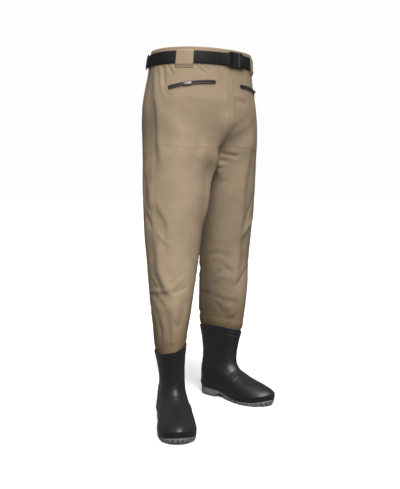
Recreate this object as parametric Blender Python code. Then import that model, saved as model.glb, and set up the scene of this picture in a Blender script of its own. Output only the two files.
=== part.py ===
"""Waist waders: cloth trousers welded into a pair of moulded boots, with a webbing belt and two zip pockets.

Metres, +Z up. The wearer faces -Y, so the wearer's left is +X. The soles stand on Z = 0.
"""

from bisect import bisect_right
from collections import namedtuple
from math import cos, pi, radians, sin

import bmesh
import bpy
from mathutils import Matrix, Vector

# Sides of the body: the sign of X
RIGHT = -1
LEFT = 1
SIDE_NAMES = {RIGHT: "right", LEFT: "left"}

# Stance: where each heel stands on the floor, and how far each toe turns out
Stance = namedtuple("Stance", "heel_x heel_y toe_out")
STANCES = {
    RIGHT: Stance(-0.1033, 0.0331, radians(29.5)),
    LEFT: Stance(0.1702, 0.1875, radians(8.0)),
}
WAIST_CENTRE = Vector((0.0761, 0.0785))

# Heights and walls
WAIST_HEIGHT = 1.122
WAIST_SIDE_DROP = 0.006
WAIST_FRONT_DROP = -0.009
CROTCH_HEIGHT = 0.765
GROIN_RISE = 0.085
RIM_HEIGHT = 0.230
RIM_FRONT_SLOPE = -0.01
RIM_INNER_SLOPE = 0.30
CLOTH = 0.0010
BOOT_WALL = 0.0025
GAP = 0.0003
SOFT_GAP = 0.0006

# Points round a leg or a boot, and those of the inner thigh that meet at the crotch
AROUND = 28
CROTCH_POINTS = 3
CROTCH_SHARE = CROTCH_POINTS / AROUND

# Seat of the trousers: level sections from the crotch to the waist
SeatRow = namedtuple("SeatRow", "height half_width half_depth set_back")
SEAT = [
    SeatRow(0.770, 0.198, 0.142, 0.009),
    SeatRow(0.835, 0.200, 0.147, 0.010),
    SeatRow(0.892, 0.200, 0.149, 0.010),
    SeatRow(0.949, 0.197, 0.147, 0.009),
    SeatRow(1.015, 0.1865, 0.1395, 0.0085),
    SeatRow(1.053, 0.1795, 0.1340, 0.0055),
    SeatRow(1.089, 0.1750, 0.1300, 0.0025),
    SeatRow(1.125, 0.1705, 0.1260, -0.0005),
]
SEAT_POWER = 2.15
SEAT_BLEND = 0.130
YOKE_DROP = 0.072
YOKE_RISE = 0.80
SEAT_RISES = [0.003, 0.11, 0.23, 0.35, 0.47, 0.59, 0.70, YOKE_RISE, 1.0]

# Legs: sections from the boot rim, share 0, to the crotch, share 1
LegRow = namedtuple("LegRow", "share half_width half_depth")
LEG = [
    LegRow(0.00, 0.0460, 0.0880),
    LegRow(0.09, 0.0520, 0.0945),
    LegRow(0.17, 0.0572, 0.0950),
    LegRow(0.31, 0.0672, 0.0920),
    LegRow(0.46, 0.0780, 0.0880),
    LegRow(0.63, 0.0865, 0.0980),
    LegRow(0.77, 0.0925, 0.1110),
    LegRow(0.88, 0.0955, 0.1190),
    LegRow(1.00, 0.1000, 0.1250),
]
LEG_STRIPS = [0.00, 0.06, 0.14, 0.26, 0.39, 0.52, 0.65, 0.78, 0.90, 1.00]
HIP_OUT = 0.096
HIP_BACK = 0.006
BOW_OUT = {RIGHT: 0.012, LEFT: 0.005}
BOW_FORWARD = 0.008
TUCK = 0.030
RIM_FADE = 0.22

# Boots: level rings of the upper, in the foot's own frame, from the feather line to the rim.
# Heel, waist, ball and toe are half widths; shift is how far the ring lies inwards
BootRow = namedtuple("BootRow", "height back front heel waist ball toe shift")
BOOT = [
    BootRow(0.0285, 0.0060, 0.2990, 0.0315, 0.0325, 0.0510, 0.0375, 0.0000),
    BootRow(0.0380, 0.0020, 0.3050, 0.0350, 0.0360, 0.0550, 0.0420, 0.0000),
    BootRow(0.0470, 0.0025, 0.3025, 0.0350, 0.0362, 0.0545, 0.0410, 0.0000),
    BootRow(0.0590, 0.0045, 0.2885, 0.0345, 0.0360, 0.0510, 0.0355, 0.0010),
    BootRow(0.0710, 0.0065, 0.2630, 0.0340, 0.0355, 0.0460, 0.0295, 0.0025),
    BootRow(0.0845, 0.0095, 0.2140, 0.0330, 0.0350, 0.0405, 0.0255, 0.0035),
    BootRow(0.0950, 0.0120, 0.1800, 0.0315, 0.0350, 0.0375, 0.0240, 0.0042),
    BootRow(0.1080, 0.0140, 0.1625, 0.0300, 0.0350, 0.0355, 0.0230, 0.0045),
    BootRow(0.1220, 0.0155, 0.1550, 0.0280, 0.0352, 0.0348, 0.0225, 0.0045),
    BootRow(0.1450, 0.0150, 0.1540, 0.0265, 0.0362, 0.0352, 0.0225, 0.0035),
    BootRow(0.1700, 0.0110, 0.1570, 0.0270, 0.0380, 0.0365, 0.0230, 0.0020),
    BootRow(0.2000, 0.0040, 0.1630, 0.0280, 0.0410, 0.0395, 0.0255, 0.0010),
    BootRow(0.2300, -0.0030, 0.1690, 0.0295, 0.0440, 0.0425, 0.0275, 0.0000),
]
HEEL_PLACE = 0.12
WAIST_PLACE = 0.40
BALL_PLACE = 0.68
TOE_PLACE = 0.90
BOOT_LENGTH = 0.307
INWARD_SWING = 0.004
FLAT_RING_HEIGHT = 0.130
RIM_TILT_START = 0.150
BAND_HEIGHT = 0.020
BAND_STEP = 0.0012
BAND_CHAMFER = 0.0012

# Outsole: top line and ground line from heel to toe
SoleRow = namedtuple("SoleRow", "along top ground")
SOLE = [
    SoleRow(0.000, 0.0290, 0.0040),
    SoleRow(0.014, 0.0285, 0.0000),
    SoleRow(0.040, 0.0280, 0.0000),
    SoleRow(0.086, 0.0265, 0.0000),
    SoleRow(0.106, 0.0250, 0.0110),
    SoleRow(0.126, 0.0225, 0.0090),
    SoleRow(0.146, 0.0195, 0.0000),
    SoleRow(0.190, 0.0155, 0.0000),
    SoleRow(0.228, 0.0155, 0.0000),
    SoleRow(0.266, 0.0190, 0.0040),
    SoleRow(0.307, 0.0280, 0.0130),
]
HEEL_SEAT = 0.0285
SOLE_INSET = 0.0012
SOLE_STEP = 0.0010
SOLE_STEP_DROP = 0.0060
SOLE_END = 0.0030
LUG_DEPTH = 0.0040
LUG_PITCH = 0.0160
LUG_GROOVE = 0.0050
LUG_SLOPE = 0.0008
HEEL_LUGS = (0.003, 0.086)
FORE_LUGS = (0.146, 0.303)
INSOLE_THICKNESS = 0.0030

# Belt: a strap on the waist, measured along the body from the centre front, positive to the wearer's left
BELT_TOP_DROP = 0.012
BELT_WIDTH = 0.037
STRAP = 0.0015
STRAP_PLAY = 0.0015
BODY_LAYER = SOFT_GAP + STRAP / 2
RETURN_LAYER = BODY_LAYER + STRAP + 0.0004
BUCKLE_START = 0.000
BUCKLE_LENGTH = 0.056
SLIDER_ANGLE = radians(121.0)
FOLD_LENGTH = 0.026
TAIL_LENGTH = 0.050
BODY_POINTS = 50
RETURN_POINTS = 18

# Belt slider: three bars with two windows between them
SLIDER_BAR = 0.0040
SLIDER_WINDOW = 0.0066
SLIDER_LOW = RETURN_LAYER + STRAP / 2 + 0.0010
SLIDER_THICKNESS = 0.0030
SLIDER_HEIGHT = 0.046
OVER_SLIDER = SLIDER_LOW + SLIDER_THICKNESS + 0.0009 + STRAP / 2

# Buckle: a socket and a pair of prongs, each with a window and an end bar for the strap
BUCKLE_HEIGHT = 0.046
BUCKLE_LOW = 0.0006
BUCKLE_THICKNESS = 0.0088
BAR = 0.0040
BAR_LOW = BODY_LAYER + STRAP / 2 + 0.0005
BAR_THICKNESS = 0.0034
OVER_BAR = BAR_LOW + BAR_THICKNESS + 0.0005 + STRAP / 2
WINDOW = 0.0062
SOCKET_LENGTH = 0.038
CAVITY_DEPTH = 0.024
CAVITY_HALF_HEIGHT = 0.0180
CAVITY_WALL = 0.0018
PRONG_CLEARANCE = 0.0005
PRONG_LENGTH = 0.021
PRONG_WIDTH = 0.0075

# Belt loops: angle round the waist from the centre front
LOOP_ANGLES = {
    "belt_loop_front_right": (RIGHT, radians(49.5)),
    "belt_loop_front_left": (LEFT, radians(48.0)),
    "belt_loop_back": (LEFT, pi),
}
LOOP_WIDTH = 0.052
LOOP_HEIGHT = 0.062
LOOP_STAND_OFF = RETURN_LAYER + STRAP / 2 + 0.0006

# Zip pockets: from the inner, upper end to the outer, lower end
ZipEnd = namedtuple("ZipEnd", "angle height")
ZIP_INNER = ZipEnd(radians(13.5), 1.020)
ZIP_OUTER = ZipEnd(radians(66.0), 1.001)
ZIP_DROP = {RIGHT: 0.0, LEFT: 0.005}
ZIP_RISE = 0.004
ZIP_WIDTH = 0.0125
ZIP_THICKNESS = 0.0012
ZIP_SLIDER_SHARE = 0.63
SLIDER_BODY = Vector((0.0110, 0.0030, 0.0080))
BAIL_WIDTH = 0.0022
BAIL_OPENING = Vector((0.0070, 0.0020))
BAIL_WALL = 0.0010
PULL_LENGTH = 0.0200
PULL_WIDTH = 0.0070
PULL_THICKNESS = 0.0012
PULL_EYE = 0.0034
PULL_EYE_LENGTH = 0.0060

# Finishes: colour, roughness and metallic value
Finish = namedtuple("Finish", "colour roughness metallic")
FINISHES = {
    "cloth": Finish((0.35, 0.28, 0.19), 0.85, 0.0),
    "boot_pvc": Finish((0.020, 0.020, 0.022), 0.42, 0.0),
    "sole_rubber": Finish((0.13, 0.125, 0.13), 0.70, 0.0),
    "insole_foam": Finish((0.06, 0.06, 0.06), 0.95, 0.0),
    "webbing": Finish((0.024, 0.025, 0.026), 0.80, 0.0),
    "buckle_plastic": Finish((0.022, 0.022, 0.024), 0.45, 0.0),
    "zip_tape": Finish((0.050, 0.042, 0.040), 0.60, 0.0),
    "zip_metal": Finish((0.42, 0.40, 0.38), 0.35, 0.8),
}


def smooth_row(rows, key):
    """The table's values at key, on a smooth curve through its rows."""
    kind = type(rows[0])
    keys = [row[0] for row in rows]
    if key <= keys[0]:
        return rows[0]
    if key >= keys[-1]:
        return rows[-1]
    index = bisect_right(keys, key) - 1
    span = keys[index + 1] - keys[index]
    t = (key - keys[index]) / span

    def slope(place, column):
        before = max(place - 1, 0)
        after = min(place + 1, len(rows) - 1)
        return (rows[after][column] - rows[before][column]) / (keys[after] - keys[before])

    values = [key]
    for column in range(1, len(rows[0])):
        start = rows[index][column]
        end = rows[index + 1][column]
        leave = slope(index, column) * span
        arrive = slope(index + 1, column) * span
        cubic = start + leave * t
        cubic += (3 * (end - start) - 2 * leave - arrive) * t**2
        cubic += (leave + arrive - 2 * (end - start)) * t**3
        values.append(cubic)
    return kind(*values)


def ease(value):
    """0 to 1 with a soft start and a soft end."""
    value = min(max(value, 0.0), 1.0)
    return value * value * (3 - 2 * value)


def powered(value, power):
    """A cosine or sine reshaped for a superellipse."""
    return (1 if value >= 0 else -1) * abs(value) ** (2 / power)


def new_object(name, mesh, finish):
    """A smooth-shaded object with its own material."""
    obj = bpy.data.objects.new(name, mesh)
    bpy.context.scene.collection.objects.link(obj)
    mesh.shade_smooth()
    mesh.set_sharp_from_angle(angle=radians(40))
    material = bpy.data.materials.get(finish) or bpy.data.materials.new(finish)
    material.use_nodes = True
    shader = material.node_tree.nodes["Principled BSDF"]
    shader.inputs["Base Color"].default_value = (*FINISHES[finish].colour, 1)
    shader.inputs["Roughness"].default_value = FINISHES[finish].roughness
    shader.inputs["Metallic"].default_value = FINISHES[finish].metallic
    mesh.materials.append(material)
    return obj


def mesh_from(name, points, faces):
    """A mesh with its faces pointing out."""
    mesh = bpy.data.meshes.new(name)
    mesh.from_pydata(points, [], faces)
    shape = bmesh.new()
    shape.from_mesh(mesh)
    bmesh.ops.recalc_face_normals(shape, faces=shape.faces)
    shape.to_mesh(mesh)
    shape.free()
    return mesh


def ring_tube(name, rings, finish, capped):
    """A tube through rings of equal count. A capped one is solid."""
    count = len(rings[0])
    points = [point for ring in rings for point in ring]
    faces = []
    for row in range(len(rings) - 1):
        for k in range(count):
            a = row * count + k
            b = row * count + (k + 1) % count
            faces.append((a, b, b + count, a + count))
    if capped:
        faces.append(tuple(range(count)))
        last = (len(rings) - 1) * count
        faces.append(tuple(range(last, last + count)))
    return new_object(name, mesh_from(name, points, faces), finish)


def give_wall(obj, thickness):
    """Turns an open skin into a wall that grows inwards."""
    wall = obj.modifiers.new("wall", "SOLIDIFY")
    wall.thickness = thickness
    wall.offset = -1
    wall.use_even_offset = True
    wall.use_rim = True


# Foot frame: along from heel to toe, inward to the other foot, up


def foot_axes(turn, side):
    """Forward and inward directions of a foot or leg turned out by an angle."""
    forward = Vector((side * sin(turn), -cos(turn)))
    inward = Vector((-side * cos(turn), -sin(turn)))
    return forward, inward


def foot_point(side, along, inward, height):
    """A point of the foot's frame in the row frame."""
    stance = STANCES[side]
    forward, inner = foot_axes(stance.toe_out, side)
    spot = Vector((stance.heel_x, stance.heel_y)) + along * forward + inward * inner
    return Vector((spot.x, spot.y, height))


# Boot upper


def closed_curve(points, place):
    """A point of a closed Catmull-Rom curve. One whole number is one control point."""
    count = len(points)
    index = int(place) % count
    t = place - int(place)
    p0, p1, p2, p3 = (points[(index + step) % count] for step in (-1, 0, 1, 2))
    straight = 2 * p1 + (p2 - p0) * t
    bend = (2 * p0 - 5 * p1 + 4 * p2 - p3) * t**2
    twist = (3 * p1 - p0 - 3 * p2 + p3) * t**3
    return 0.5 * (straight + bend + twist)


def swing(along):
    """How far the foot's middle line swings inwards towards the toe."""
    return INWARD_SWING * sin(pi * along / BOOT_LENGTH)


def boot_outline(height, count=AROUND):
    """A level ring of the boot as (along, inward): inner side, front, outer side, back."""
    row = smooth_row(BOOT, height)
    length = row.front - row.back
    places = (TOE_PLACE, BALL_PLACE, WAIST_PLACE, HEEL_PLACE)
    halves = (row.toe, row.ball, row.waist, row.heel)
    alongs = [row.back + place * length for place in places]
    outer = [Vector((x, swing(x) + row.shift - half)) for x, half in zip(alongs, halves)]
    inner = [Vector((x, swing(x) + row.shift + half)) for x, half in zip(alongs, halves)]
    tip = Vector((row.front, swing(row.front) + row.shift))
    heel = Vector((row.back, swing(row.back) + row.shift))
    controls = [tip, *outer, heel, *reversed(inner)]
    start = 0.75 * len(controls)
    return [closed_curve(controls, start + len(controls) * k / count) for k in range(count)]


def grown(outline, distance):
    """The outline moved out by a distance, or in by a negative one."""
    moved = []
    count = len(outline)
    for k, point in enumerate(outline):
        run = outline[(k + 1) % count] - outline[k - 1]
        moved.append(point + distance * Vector((-run.y, run.x)).normalized())
    return moved


def rim_lift(along, inward):
    """The rim drops towards the toe and rises on the inner side."""
    row = BOOT[-1]
    middle = (row.back + row.front) / 2
    return RIM_INNER_SLOPE * inward - RIM_FRONT_SLOPE * (along - middle)


def boot_height(height, along, inward):
    """Height of a ring's point: it follows the sole's top line below and the slanted rim above."""
    sole_drop = smooth_row(SOLE, along).top - HEEL_SEAT
    lower = 1 - ease((height - HEEL_SEAT) / (FLAT_RING_HEIGHT - HEEL_SEAT))
    upper = ease((height - RIM_TILT_START) / (RIM_HEIGHT - RIM_TILT_START))
    return height + GAP + sole_drop * lower + rim_lift(along, inward) * upper


def boot_ring(side, height, growth):
    """A ring of the boot in the row frame."""
    ring = []
    for along, inward in grown(boot_outline(height), growth):
        ring.append(foot_point(side, along, inward, boot_height(height, along, inward)))
    return ring


def make_boot(side):
    band = RIM_HEIGHT - BAND_HEIGHT
    levels = [(row.height, 0.0) for row in BOOT if row.height < band]
    levels += [(band - BAND_CHAMFER, 0.0), (band, BAND_STEP), (RIM_HEIGHT, BAND_STEP)]
    rings = [boot_ring(side, height, growth) for height, growth in levels]
    boot = ring_tube(f"boot_{SIDE_NAMES[side]}", rings, "boot_pvc", capped=False)
    give_wall(boot, BOOT_WALL)


# Outsole and insole


def half_widths(outline, along):
    """Outer and inner edge of an outline at a place along the foot."""
    crossings = []
    for a, b in zip(outline, outline[1:] + outline[:1]):
        if (a.x - along) * (b.x - along) <= 0 and a.x != b.x:
            crossings.append(a.y + (b.y - a.y) * (along - a.x) / (b.x - a.x))
    return min(crossings), max(crossings)


def lug_stations():
    """Places along the sole with True where the tread is a lug and False where it is a groove."""
    stations = []
    for start, end in (HEEL_LUGS, FORE_LUGS):
        along = start
        while along < end:
            lug_end = min(along + LUG_PITCH - LUG_GROOVE, end)
            stations += [(along + LUG_SLOPE, True), (lug_end - LUG_SLOPE, True)]
            if lug_end + LUG_GROOVE < end:
                stations += [(lug_end, False), (lug_end + LUG_GROOVE, False)]
            along += LUG_PITCH
    arch = [(x, False) for x in (HEEL_LUGS[1] + LUG_SLOPE, 0.106, 0.126, FORE_LUGS[0] - LUG_SLOPE)]
    return sorted(stations + arch)


def sole_ring(side, outline, along, lug):
    """Cross-section of the outsole: top, stepped sides and tread."""
    row = smooth_row(SOLE, along)
    outer, inner = half_widths(outline, along)
    step = min(SOLE_STEP, (inner - outer) / 8)
    ground = max(row.ground, 0.0)
    root = ground + LUG_DEPTH
    tread = ground if lug else root
    ledge = max(row.top - SOLE_STEP_DROP, root + 0.001)
    section = [
        (outer, row.top),
        (inner, row.top),
        (inner, ledge),
        (inner - step, ledge - step),
        (inner - step, tread),
        (outer + step, tread),
        (outer + step, ledge - step),
        (outer, ledge),
    ]
    return [foot_point(side, along, across, height) for across, height in section]


def make_outsole(side):
    outline = grown(boot_outline(BOOT[1].height, AROUND * 4), -SOLE_INSET)
    first = min(point.x for point in outline) + SOLE_END / 4
    last = max(point.x for point in outline) - SOLE_END / 4
    stations = [(x, lug) for x, lug in lug_stations() if first + SOLE_END < x < last - SOLE_END]
    stations = [(first, False), (first + SOLE_END, False), *stations, (last - SOLE_END, False), (last, False)]
    rings = [sole_ring(side, outline, along, lug) for along, lug in stations]
    ring_tube(f"outsole_{SIDE_NAMES[side]}", rings, "sole_rubber", capped=True)


def make_insole(side):
    outline = grown(boot_outline(BOOT[0].height), -BOOT_WALL - 2 * SOFT_GAP)
    first = min(point.x for point in outline)
    last = max(point.x for point in outline)
    rings = []
    shares = [0.01, 0.04, 0.10, 0.20, 0.32, 0.44, 0.56, 0.68, 0.80, 0.90, 0.96, 0.99]
    for along in [first + share * (last - first) for share in shares]:
        outer, inner = half_widths(outline, along)
        low = smooth_row(SOLE, along).top + 2 * GAP
        high = low + INSOLE_THICKNESS
        section = [(outer, low), (outer, high), (inner, high), (inner, low)]
        rings.append([foot_point(side, along, across, height) for across, height in section])
    ring_tube(f"insole_{SIDE_NAMES[side]}", rings, "insole_foam", capped=True)


# Trousers


def seat_point(side, angle, height, offset=0.0):
    """A point of the seat. The angle runs from the centre front, 0, by the hip to the centre back, pi."""
    row = smooth_row(SEAT, height)
    out = powered(sin(angle), SEAT_POWER) * row.half_width
    forward = powered(cos(angle), SEAT_POWER) * row.half_depth
    normal = Vector((sin(angle) * row.half_depth, cos(angle) * row.half_width)).normalized()
    out += offset * normal.x
    forward += offset * normal.y
    return Vector((WAIST_CENTRE.x + side * out, WAIST_CENTRE.y + row.set_back - forward, height))


def waist_edge(point):
    """Height of the waist's top edge over a point: it drops to the front and to the wearer's left."""
    aside = (point.x - WAIST_CENTRE.x) * WAIST_SIDE_DROP
    ahead = (point.y - WAIST_CENTRE.y) * WAIST_FRONT_DROP
    return WAIST_HEIGHT - aside + ahead


def leg_centre(side, share):
    """Middle of a leg's section: a line from the boot's collar to the hip that bows out and forward."""
    row = BOOT[-1]
    along = (row.front + row.back) / 2
    collar = foot_point(side, along, swing(along), 0.0).to_2d()
    hip = WAIST_CENTRE + Vector((side * HIP_OUT, HIP_BACK))
    bow = sin(pi * min(max(share, 0), 1))
    return collar.lerp(hip, share) + bow * Vector((side * BOW_OUT[side], -BOW_FORWARD))


def leg_point(side, share, turn):
    """A point of a leg. The turn, 0 to 1, runs from the inner side by the front to the outer side."""
    row = smooth_row(LEG, share)
    angle = 2 * pi * turn
    forward, inward = foot_axes(STANCES[side].toe_out * (1 - share), side)
    inner = row.half_width * cos(angle)
    ahead = row.half_depth * sin(angle)
    spot = leg_centre(side, share) + inner * inward + ahead * forward
    height = RIM_HEIGHT + share * (CROTCH_HEIGHT - RIM_HEIGHT)
    height += GROIN_RISE * (1 - cos(angle)) / 2 * ease((share - 0.55) / 0.45)
    row = BOOT[-1]
    along = (row.front + row.back) / 2 + ahead
    height += rim_lift(along, inner) * (1 - ease(share / RIM_FADE))
    return Vector((spot.x, spot.y, height))


def groin_point(side, turn):
    """The line where a leg meets the seat. Its inner stretch is the crotch seam, beside the middle plane."""
    point = leg_point(side, 1.0, turn)
    if min(turn, 1 - turn) <= CROTCH_SHARE + 1e-6:
        point.x = WAIST_CENTRE.x + side * GAP / 2
    return point


def trouser_seat_point(side, turn, rise):
    """A point between the groin line, rise 0, and the waist, rise 1. YOKE_RISE is under the belt."""
    low = groin_point(side, turn)
    angle = pi * (turn - CROTCH_SHARE) / (1 - 2 * CROTCH_SHARE)
    top = waist_edge(seat_point(side, angle, WAIST_HEIGHT))
    yoke = top - YOKE_DROP
    if rise < YOKE_RISE:
        height = low.z + (yoke - low.z) * rise / YOKE_RISE
    else:
        height = yoke + YOKE_DROP * (rise - YOKE_RISE) / (1 - YOKE_RISE)
    full = seat_point(side, angle, height)
    spot = low.lerp(full, ease(max((height - low.z) / SEAT_BLEND, rise / YOKE_RISE)))
    return Vector((spot.x, spot.y, height))


def tuck_ring(side, drop):
    """The leg's end inside the boot's collar."""
    height = RIM_HEIGHT - drop
    return boot_ring(side, height, -BOOT_WALL - SOFT_GAP)


def make_leg(side):
    """A leg, from its end inside the boot to the groin line, where it is sewn to the seat and the other leg."""
    rings = [tuck_ring(side, TUCK), tuck_ring(side, GAP)]
    for share in LEG_STRIPS[1:-1]:
        rings.append([leg_point(side, share, k / AROUND) for k in range(AROUND)])
    rings.append([groin_point(side, k / AROUND) for k in range(AROUND)])
    give_wall(ring_tube(f"leg_{SIDE_NAMES[side]}", rings, "cloth", capped=False), CLOTH)


def make_seat():
    """The seat, from just over the groin line to the waist."""
    turns = [k / AROUND for k in range(CROTCH_POINTS, AROUND - CROTCH_POINTS + 1)]
    rings = []
    for rise in SEAT_RISES:
        right = [trouser_seat_point(RIGHT, turn, rise) for turn in turns]
        left = [trouser_seat_point(LEFT, turn, rise) for turn in turns[-2:0:-1]]
        rings.append(right + left)
    give_wall(ring_tube("seat", rings, "cloth", capped=False), CLOTH)


# Belt


def belt_edges(side, angle, offset):
    """Lower and upper edge of the belt at an angle round the waist, a distance off the cloth."""
    top = waist_edge(seat_point(side, angle, WAIST_HEIGHT)) - BELT_TOP_DROP
    return [seat_point(side, angle, height, offset) for height in (top - BELT_WIDTH, top)]


class WaistLine:
    """Distances along the belt, from the centre front, turned into angles round the waist."""

    STEPS = 180

    def __init__(self):
        self.angles = [pi * k / self.STEPS for k in range(self.STEPS + 1)]
        middles = [self.middle(LEFT, angle) for angle in self.angles]
        self.lengths = [0.0]
        for a, b in zip(middles, middles[1:]):
            self.lengths.append(self.lengths[-1] + (b - a).length)
        self.half = self.lengths[-1]

    @staticmethod
    def middle(side, angle):
        low, high = belt_edges(side, angle, 0.0)
        return (low + high) / 2

    def locate(self, distance):
        """Side and angle at a distance. It may run past the centre back."""
        distance = (distance + self.half) % (2 * self.half) - self.half
        side = LEFT if distance >= 0 else RIGHT
        distance = abs(distance)
        index = min(bisect_right(self.lengths, distance) - 1, self.STEPS - 1)
        span = self.lengths[index + 1] - self.lengths[index]
        return side, self.angles[index] + (distance - self.lengths[index]) / span * pi / self.STEPS

    def distance(self, angle):
        return self.lengths[round(angle / pi * self.STEPS)]

    def frame(self, distance, offset):
        """Matrix with X along the belt to the wearer's left, Y off the cloth and Z down the belt."""
        side, angle = self.locate(distance)
        low, high = belt_edges(side, angle, offset)
        ahead = self.middle(*self.locate(distance + 0.002))
        behind = self.middle(*self.locate(distance - 0.002))
        along = (ahead - behind).normalized()
        up = (high - low).normalized()
        off = along.cross(up).normalized()
        frame = Matrix((along, off, along.cross(off))).transposed().to_4x4()
        frame.translation = (low + high) / 2
        return frame


WAIST_LINE = WaistLine()
SLIDER_PLACE = -WAIST_LINE.distance(SLIDER_ANGLE)


def edges_in(frame, along, off):
    """Lower and upper edge of the strap in the frame of the buckle or the slider."""
    return [frame @ Vector((along, off, drop)) for drop in (BELT_WIDTH / 2, -BELT_WIDTH / 2)]


def edges_on_cloth(place, off):
    """Lower and upper edge of the strap at a place along the waist."""
    return belt_edges(*WAIST_LINE.locate(place), off)


def fold(way):
    """The strap's turn through a buckle half's window, from over its end bar to behind it."""
    frame = buckle_frame()
    end = BUCKLE_START if way > 0 else BUCKLE_START + BUCKLE_LENGTH
    bar = -way * BUCKLE_LENGTH / 2
    turn = (OVER_BAR - BODY_LAYER) / 2
    centre = bar + way * (BAR + 0.0006)
    lines = [
        edges_on_cloth(end - way * FOLD_LENGTH, RETURN_LAYER),
        edges_on_cloth(end - way * FOLD_LENGTH / 2, (RETURN_LAYER + OVER_BAR) / 2),
        edges_in(frame, bar - way * 0.003, OVER_BAR),
        edges_in(frame, centre, OVER_BAR),
    ]
    for angle in (pi / 4, pi / 2, 3 * pi / 4):
        lines.append(edges_in(frame, centre + way * turn * sin(angle), BODY_LAYER + turn * (1 + cos(angle))))
    lines.append(edges_in(frame, centre, BODY_LAYER))
    lines.append(edges_on_cloth(end - way * FOLD_LENGTH / 2, BODY_LAYER))
    return lines


def strap_lines():
    """Lower and upper edges of the strap's middle surface, from its end on the slider to its sewn tail."""
    frame = WAIST_LINE.frame(SLIDER_PLACE, 0.0)
    half_bar = SLIDER_BAR / 2 + 0.0006
    window = (SLIDER_BAR + SLIDER_WINDOW) / 2
    lines = [
        edges_in(frame, -window, RETURN_LAYER + 0.0008),
        edges_in(frame, -window + 0.0006, OVER_SLIDER - 0.0024),
        edges_in(frame, -half_bar, OVER_SLIDER),
        edges_in(frame, half_bar, OVER_SLIDER),
        edges_in(frame, window - 0.0008, OVER_SLIDER - 0.0024),
        edges_in(frame, window + 0.0002, RETURN_LAYER + 0.0008),
        edges_in(frame, window + 0.0022, RETURN_LAYER),
    ]
    start = SLIDER_PLACE + window + 0.008
    end = BUCKLE_START - FOLD_LENGTH
    for k in range(RETURN_POINTS):
        lines.append(edges_on_cloth(start + (end - start) * k / RETURN_POINTS, RETURN_LAYER))
    lines += fold(1)
    left_end = BUCKLE_START + BUCKLE_LENGTH
    start = BUCKLE_START - FOLD_LENGTH / 2
    end = left_end + FOLD_LENGTH / 2 - 2 * WAIST_LINE.half
    for k in range(1, BODY_POINTS):
        lines.append(edges_on_cloth(start + (end - start) * k / BODY_POINTS, BODY_LAYER))
    lines += reversed(fold(-1))
    for share in (0.25, 0.5, 0.75, 1.0):
        lines.append(edges_on_cloth(left_end + FOLD_LENGTH + TAIL_LENGTH * share, RETURN_LAYER))
    return lines


def make_strap():
    lines = strap_lines()
    rings = []
    for k, (low, high) in enumerate(lines):
        ahead = lines[min(k + 1, len(lines) - 1)][0]
        behind = lines[max(k - 1, 0)][0]
        run = ahead - behind
        thick = run.cross(high - low).normalized() * STRAP / 2
        rings.append([low - thick, low + thick, high + thick, high - thick])
    ring_tube("belt_strap", rings, "webbing", capped=True)


def box_mesh(name, low, high, bevel):
    """A box between two corners, with its edges rounded if a bevel is given."""
    mesh = bpy.data.meshes.new(name)
    shape = bmesh.new()
    bmesh.ops.create_cube(shape, size=1.0)
    for vert in shape.verts:
        vert.co = Vector(lo + (hi - lo) * (c + 0.5) for lo, hi, c in zip(low, high, vert.co))
    if bevel:
        bmesh.ops.bevel(shape, geom=shape.edges[:], offset=bevel, segments=1, profile=0.5, affect="EDGES")
    shape.to_mesh(mesh)
    shape.free()
    return mesh


def combine(obj, operation, low, high, frame):
    """Cuts a box from an object, or joins one to it."""
    name = f"{obj.name}_{operation.lower()}_{len(obj.modifiers)}"
    helper = bpy.data.objects.new(name, box_mesh(name, low, high, 0.0))
    bpy.context.scene.collection.objects.link(helper)
    helper.matrix_world = frame
    helper.hide_render = True
    helper.display_type = "WIRE"
    boolean = obj.modifiers.new(name, "BOOLEAN")
    boolean.operation = operation
    boolean.object = helper


def block(name, low, high, bevel, frame, finish):
    """A rounded block placed by a frame."""
    obj = new_object(name, box_mesh(name, low, high, bevel), finish)
    obj.matrix_world = frame
    return obj


def make_slider():
    frame = WAIST_LINE.frame(SLIDER_PLACE, 0.0)
    half_length = SLIDER_BAR * 1.5 + SLIDER_WINDOW
    half_height = SLIDER_HEIGHT / 2
    slot = BELT_WIDTH / 2 + STRAP_PLAY
    low = SLIDER_LOW
    high = SLIDER_LOW + SLIDER_THICKNESS
    corner = Vector((half_length, high, half_height))
    slider = block("belt_slider", (-corner.x, low, -corner.z), corner, 0.0008, frame, "buckle_plastic")
    inner = SLIDER_BAR / 2
    outer = SLIDER_BAR / 2 + SLIDER_WINDOW
    for start, end in ((-outer, -inner), (inner, outer)):
        combine(slider, "DIFFERENCE", (start, low - 0.001, -slot), (end, high + 0.001, slot), frame)


def buckle_frame():
    return WAIST_LINE.frame(BUCKLE_START + BUCKLE_LENGTH / 2, 0.0)


def strap_window(obj, frame, start, end):
    """Opens a buckle half for the strap, and thins its end bar."""
    slot = BELT_WIDTH / 2 + STRAP_PLAY
    deep = 0.020
    low, high = sorted((start, end))
    combine(obj, "DIFFERENCE", (low, -deep, -slot), (high, deep, slot), frame)
    bar_end = start + (start - end) / abs(start - end) * (BAR + 0.001)
    low, high = sorted((start, bar_end))
    combine(obj, "DIFFERENCE", (low - 1e-4, -deep, -slot), (high + 1e-4, BAR_LOW, slot), frame)
    combine(obj, "DIFFERENCE", (low - 1e-4, BAR_LOW + BAR_THICKNESS, -slot), (high + 1e-4, deep, slot), frame)


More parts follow.
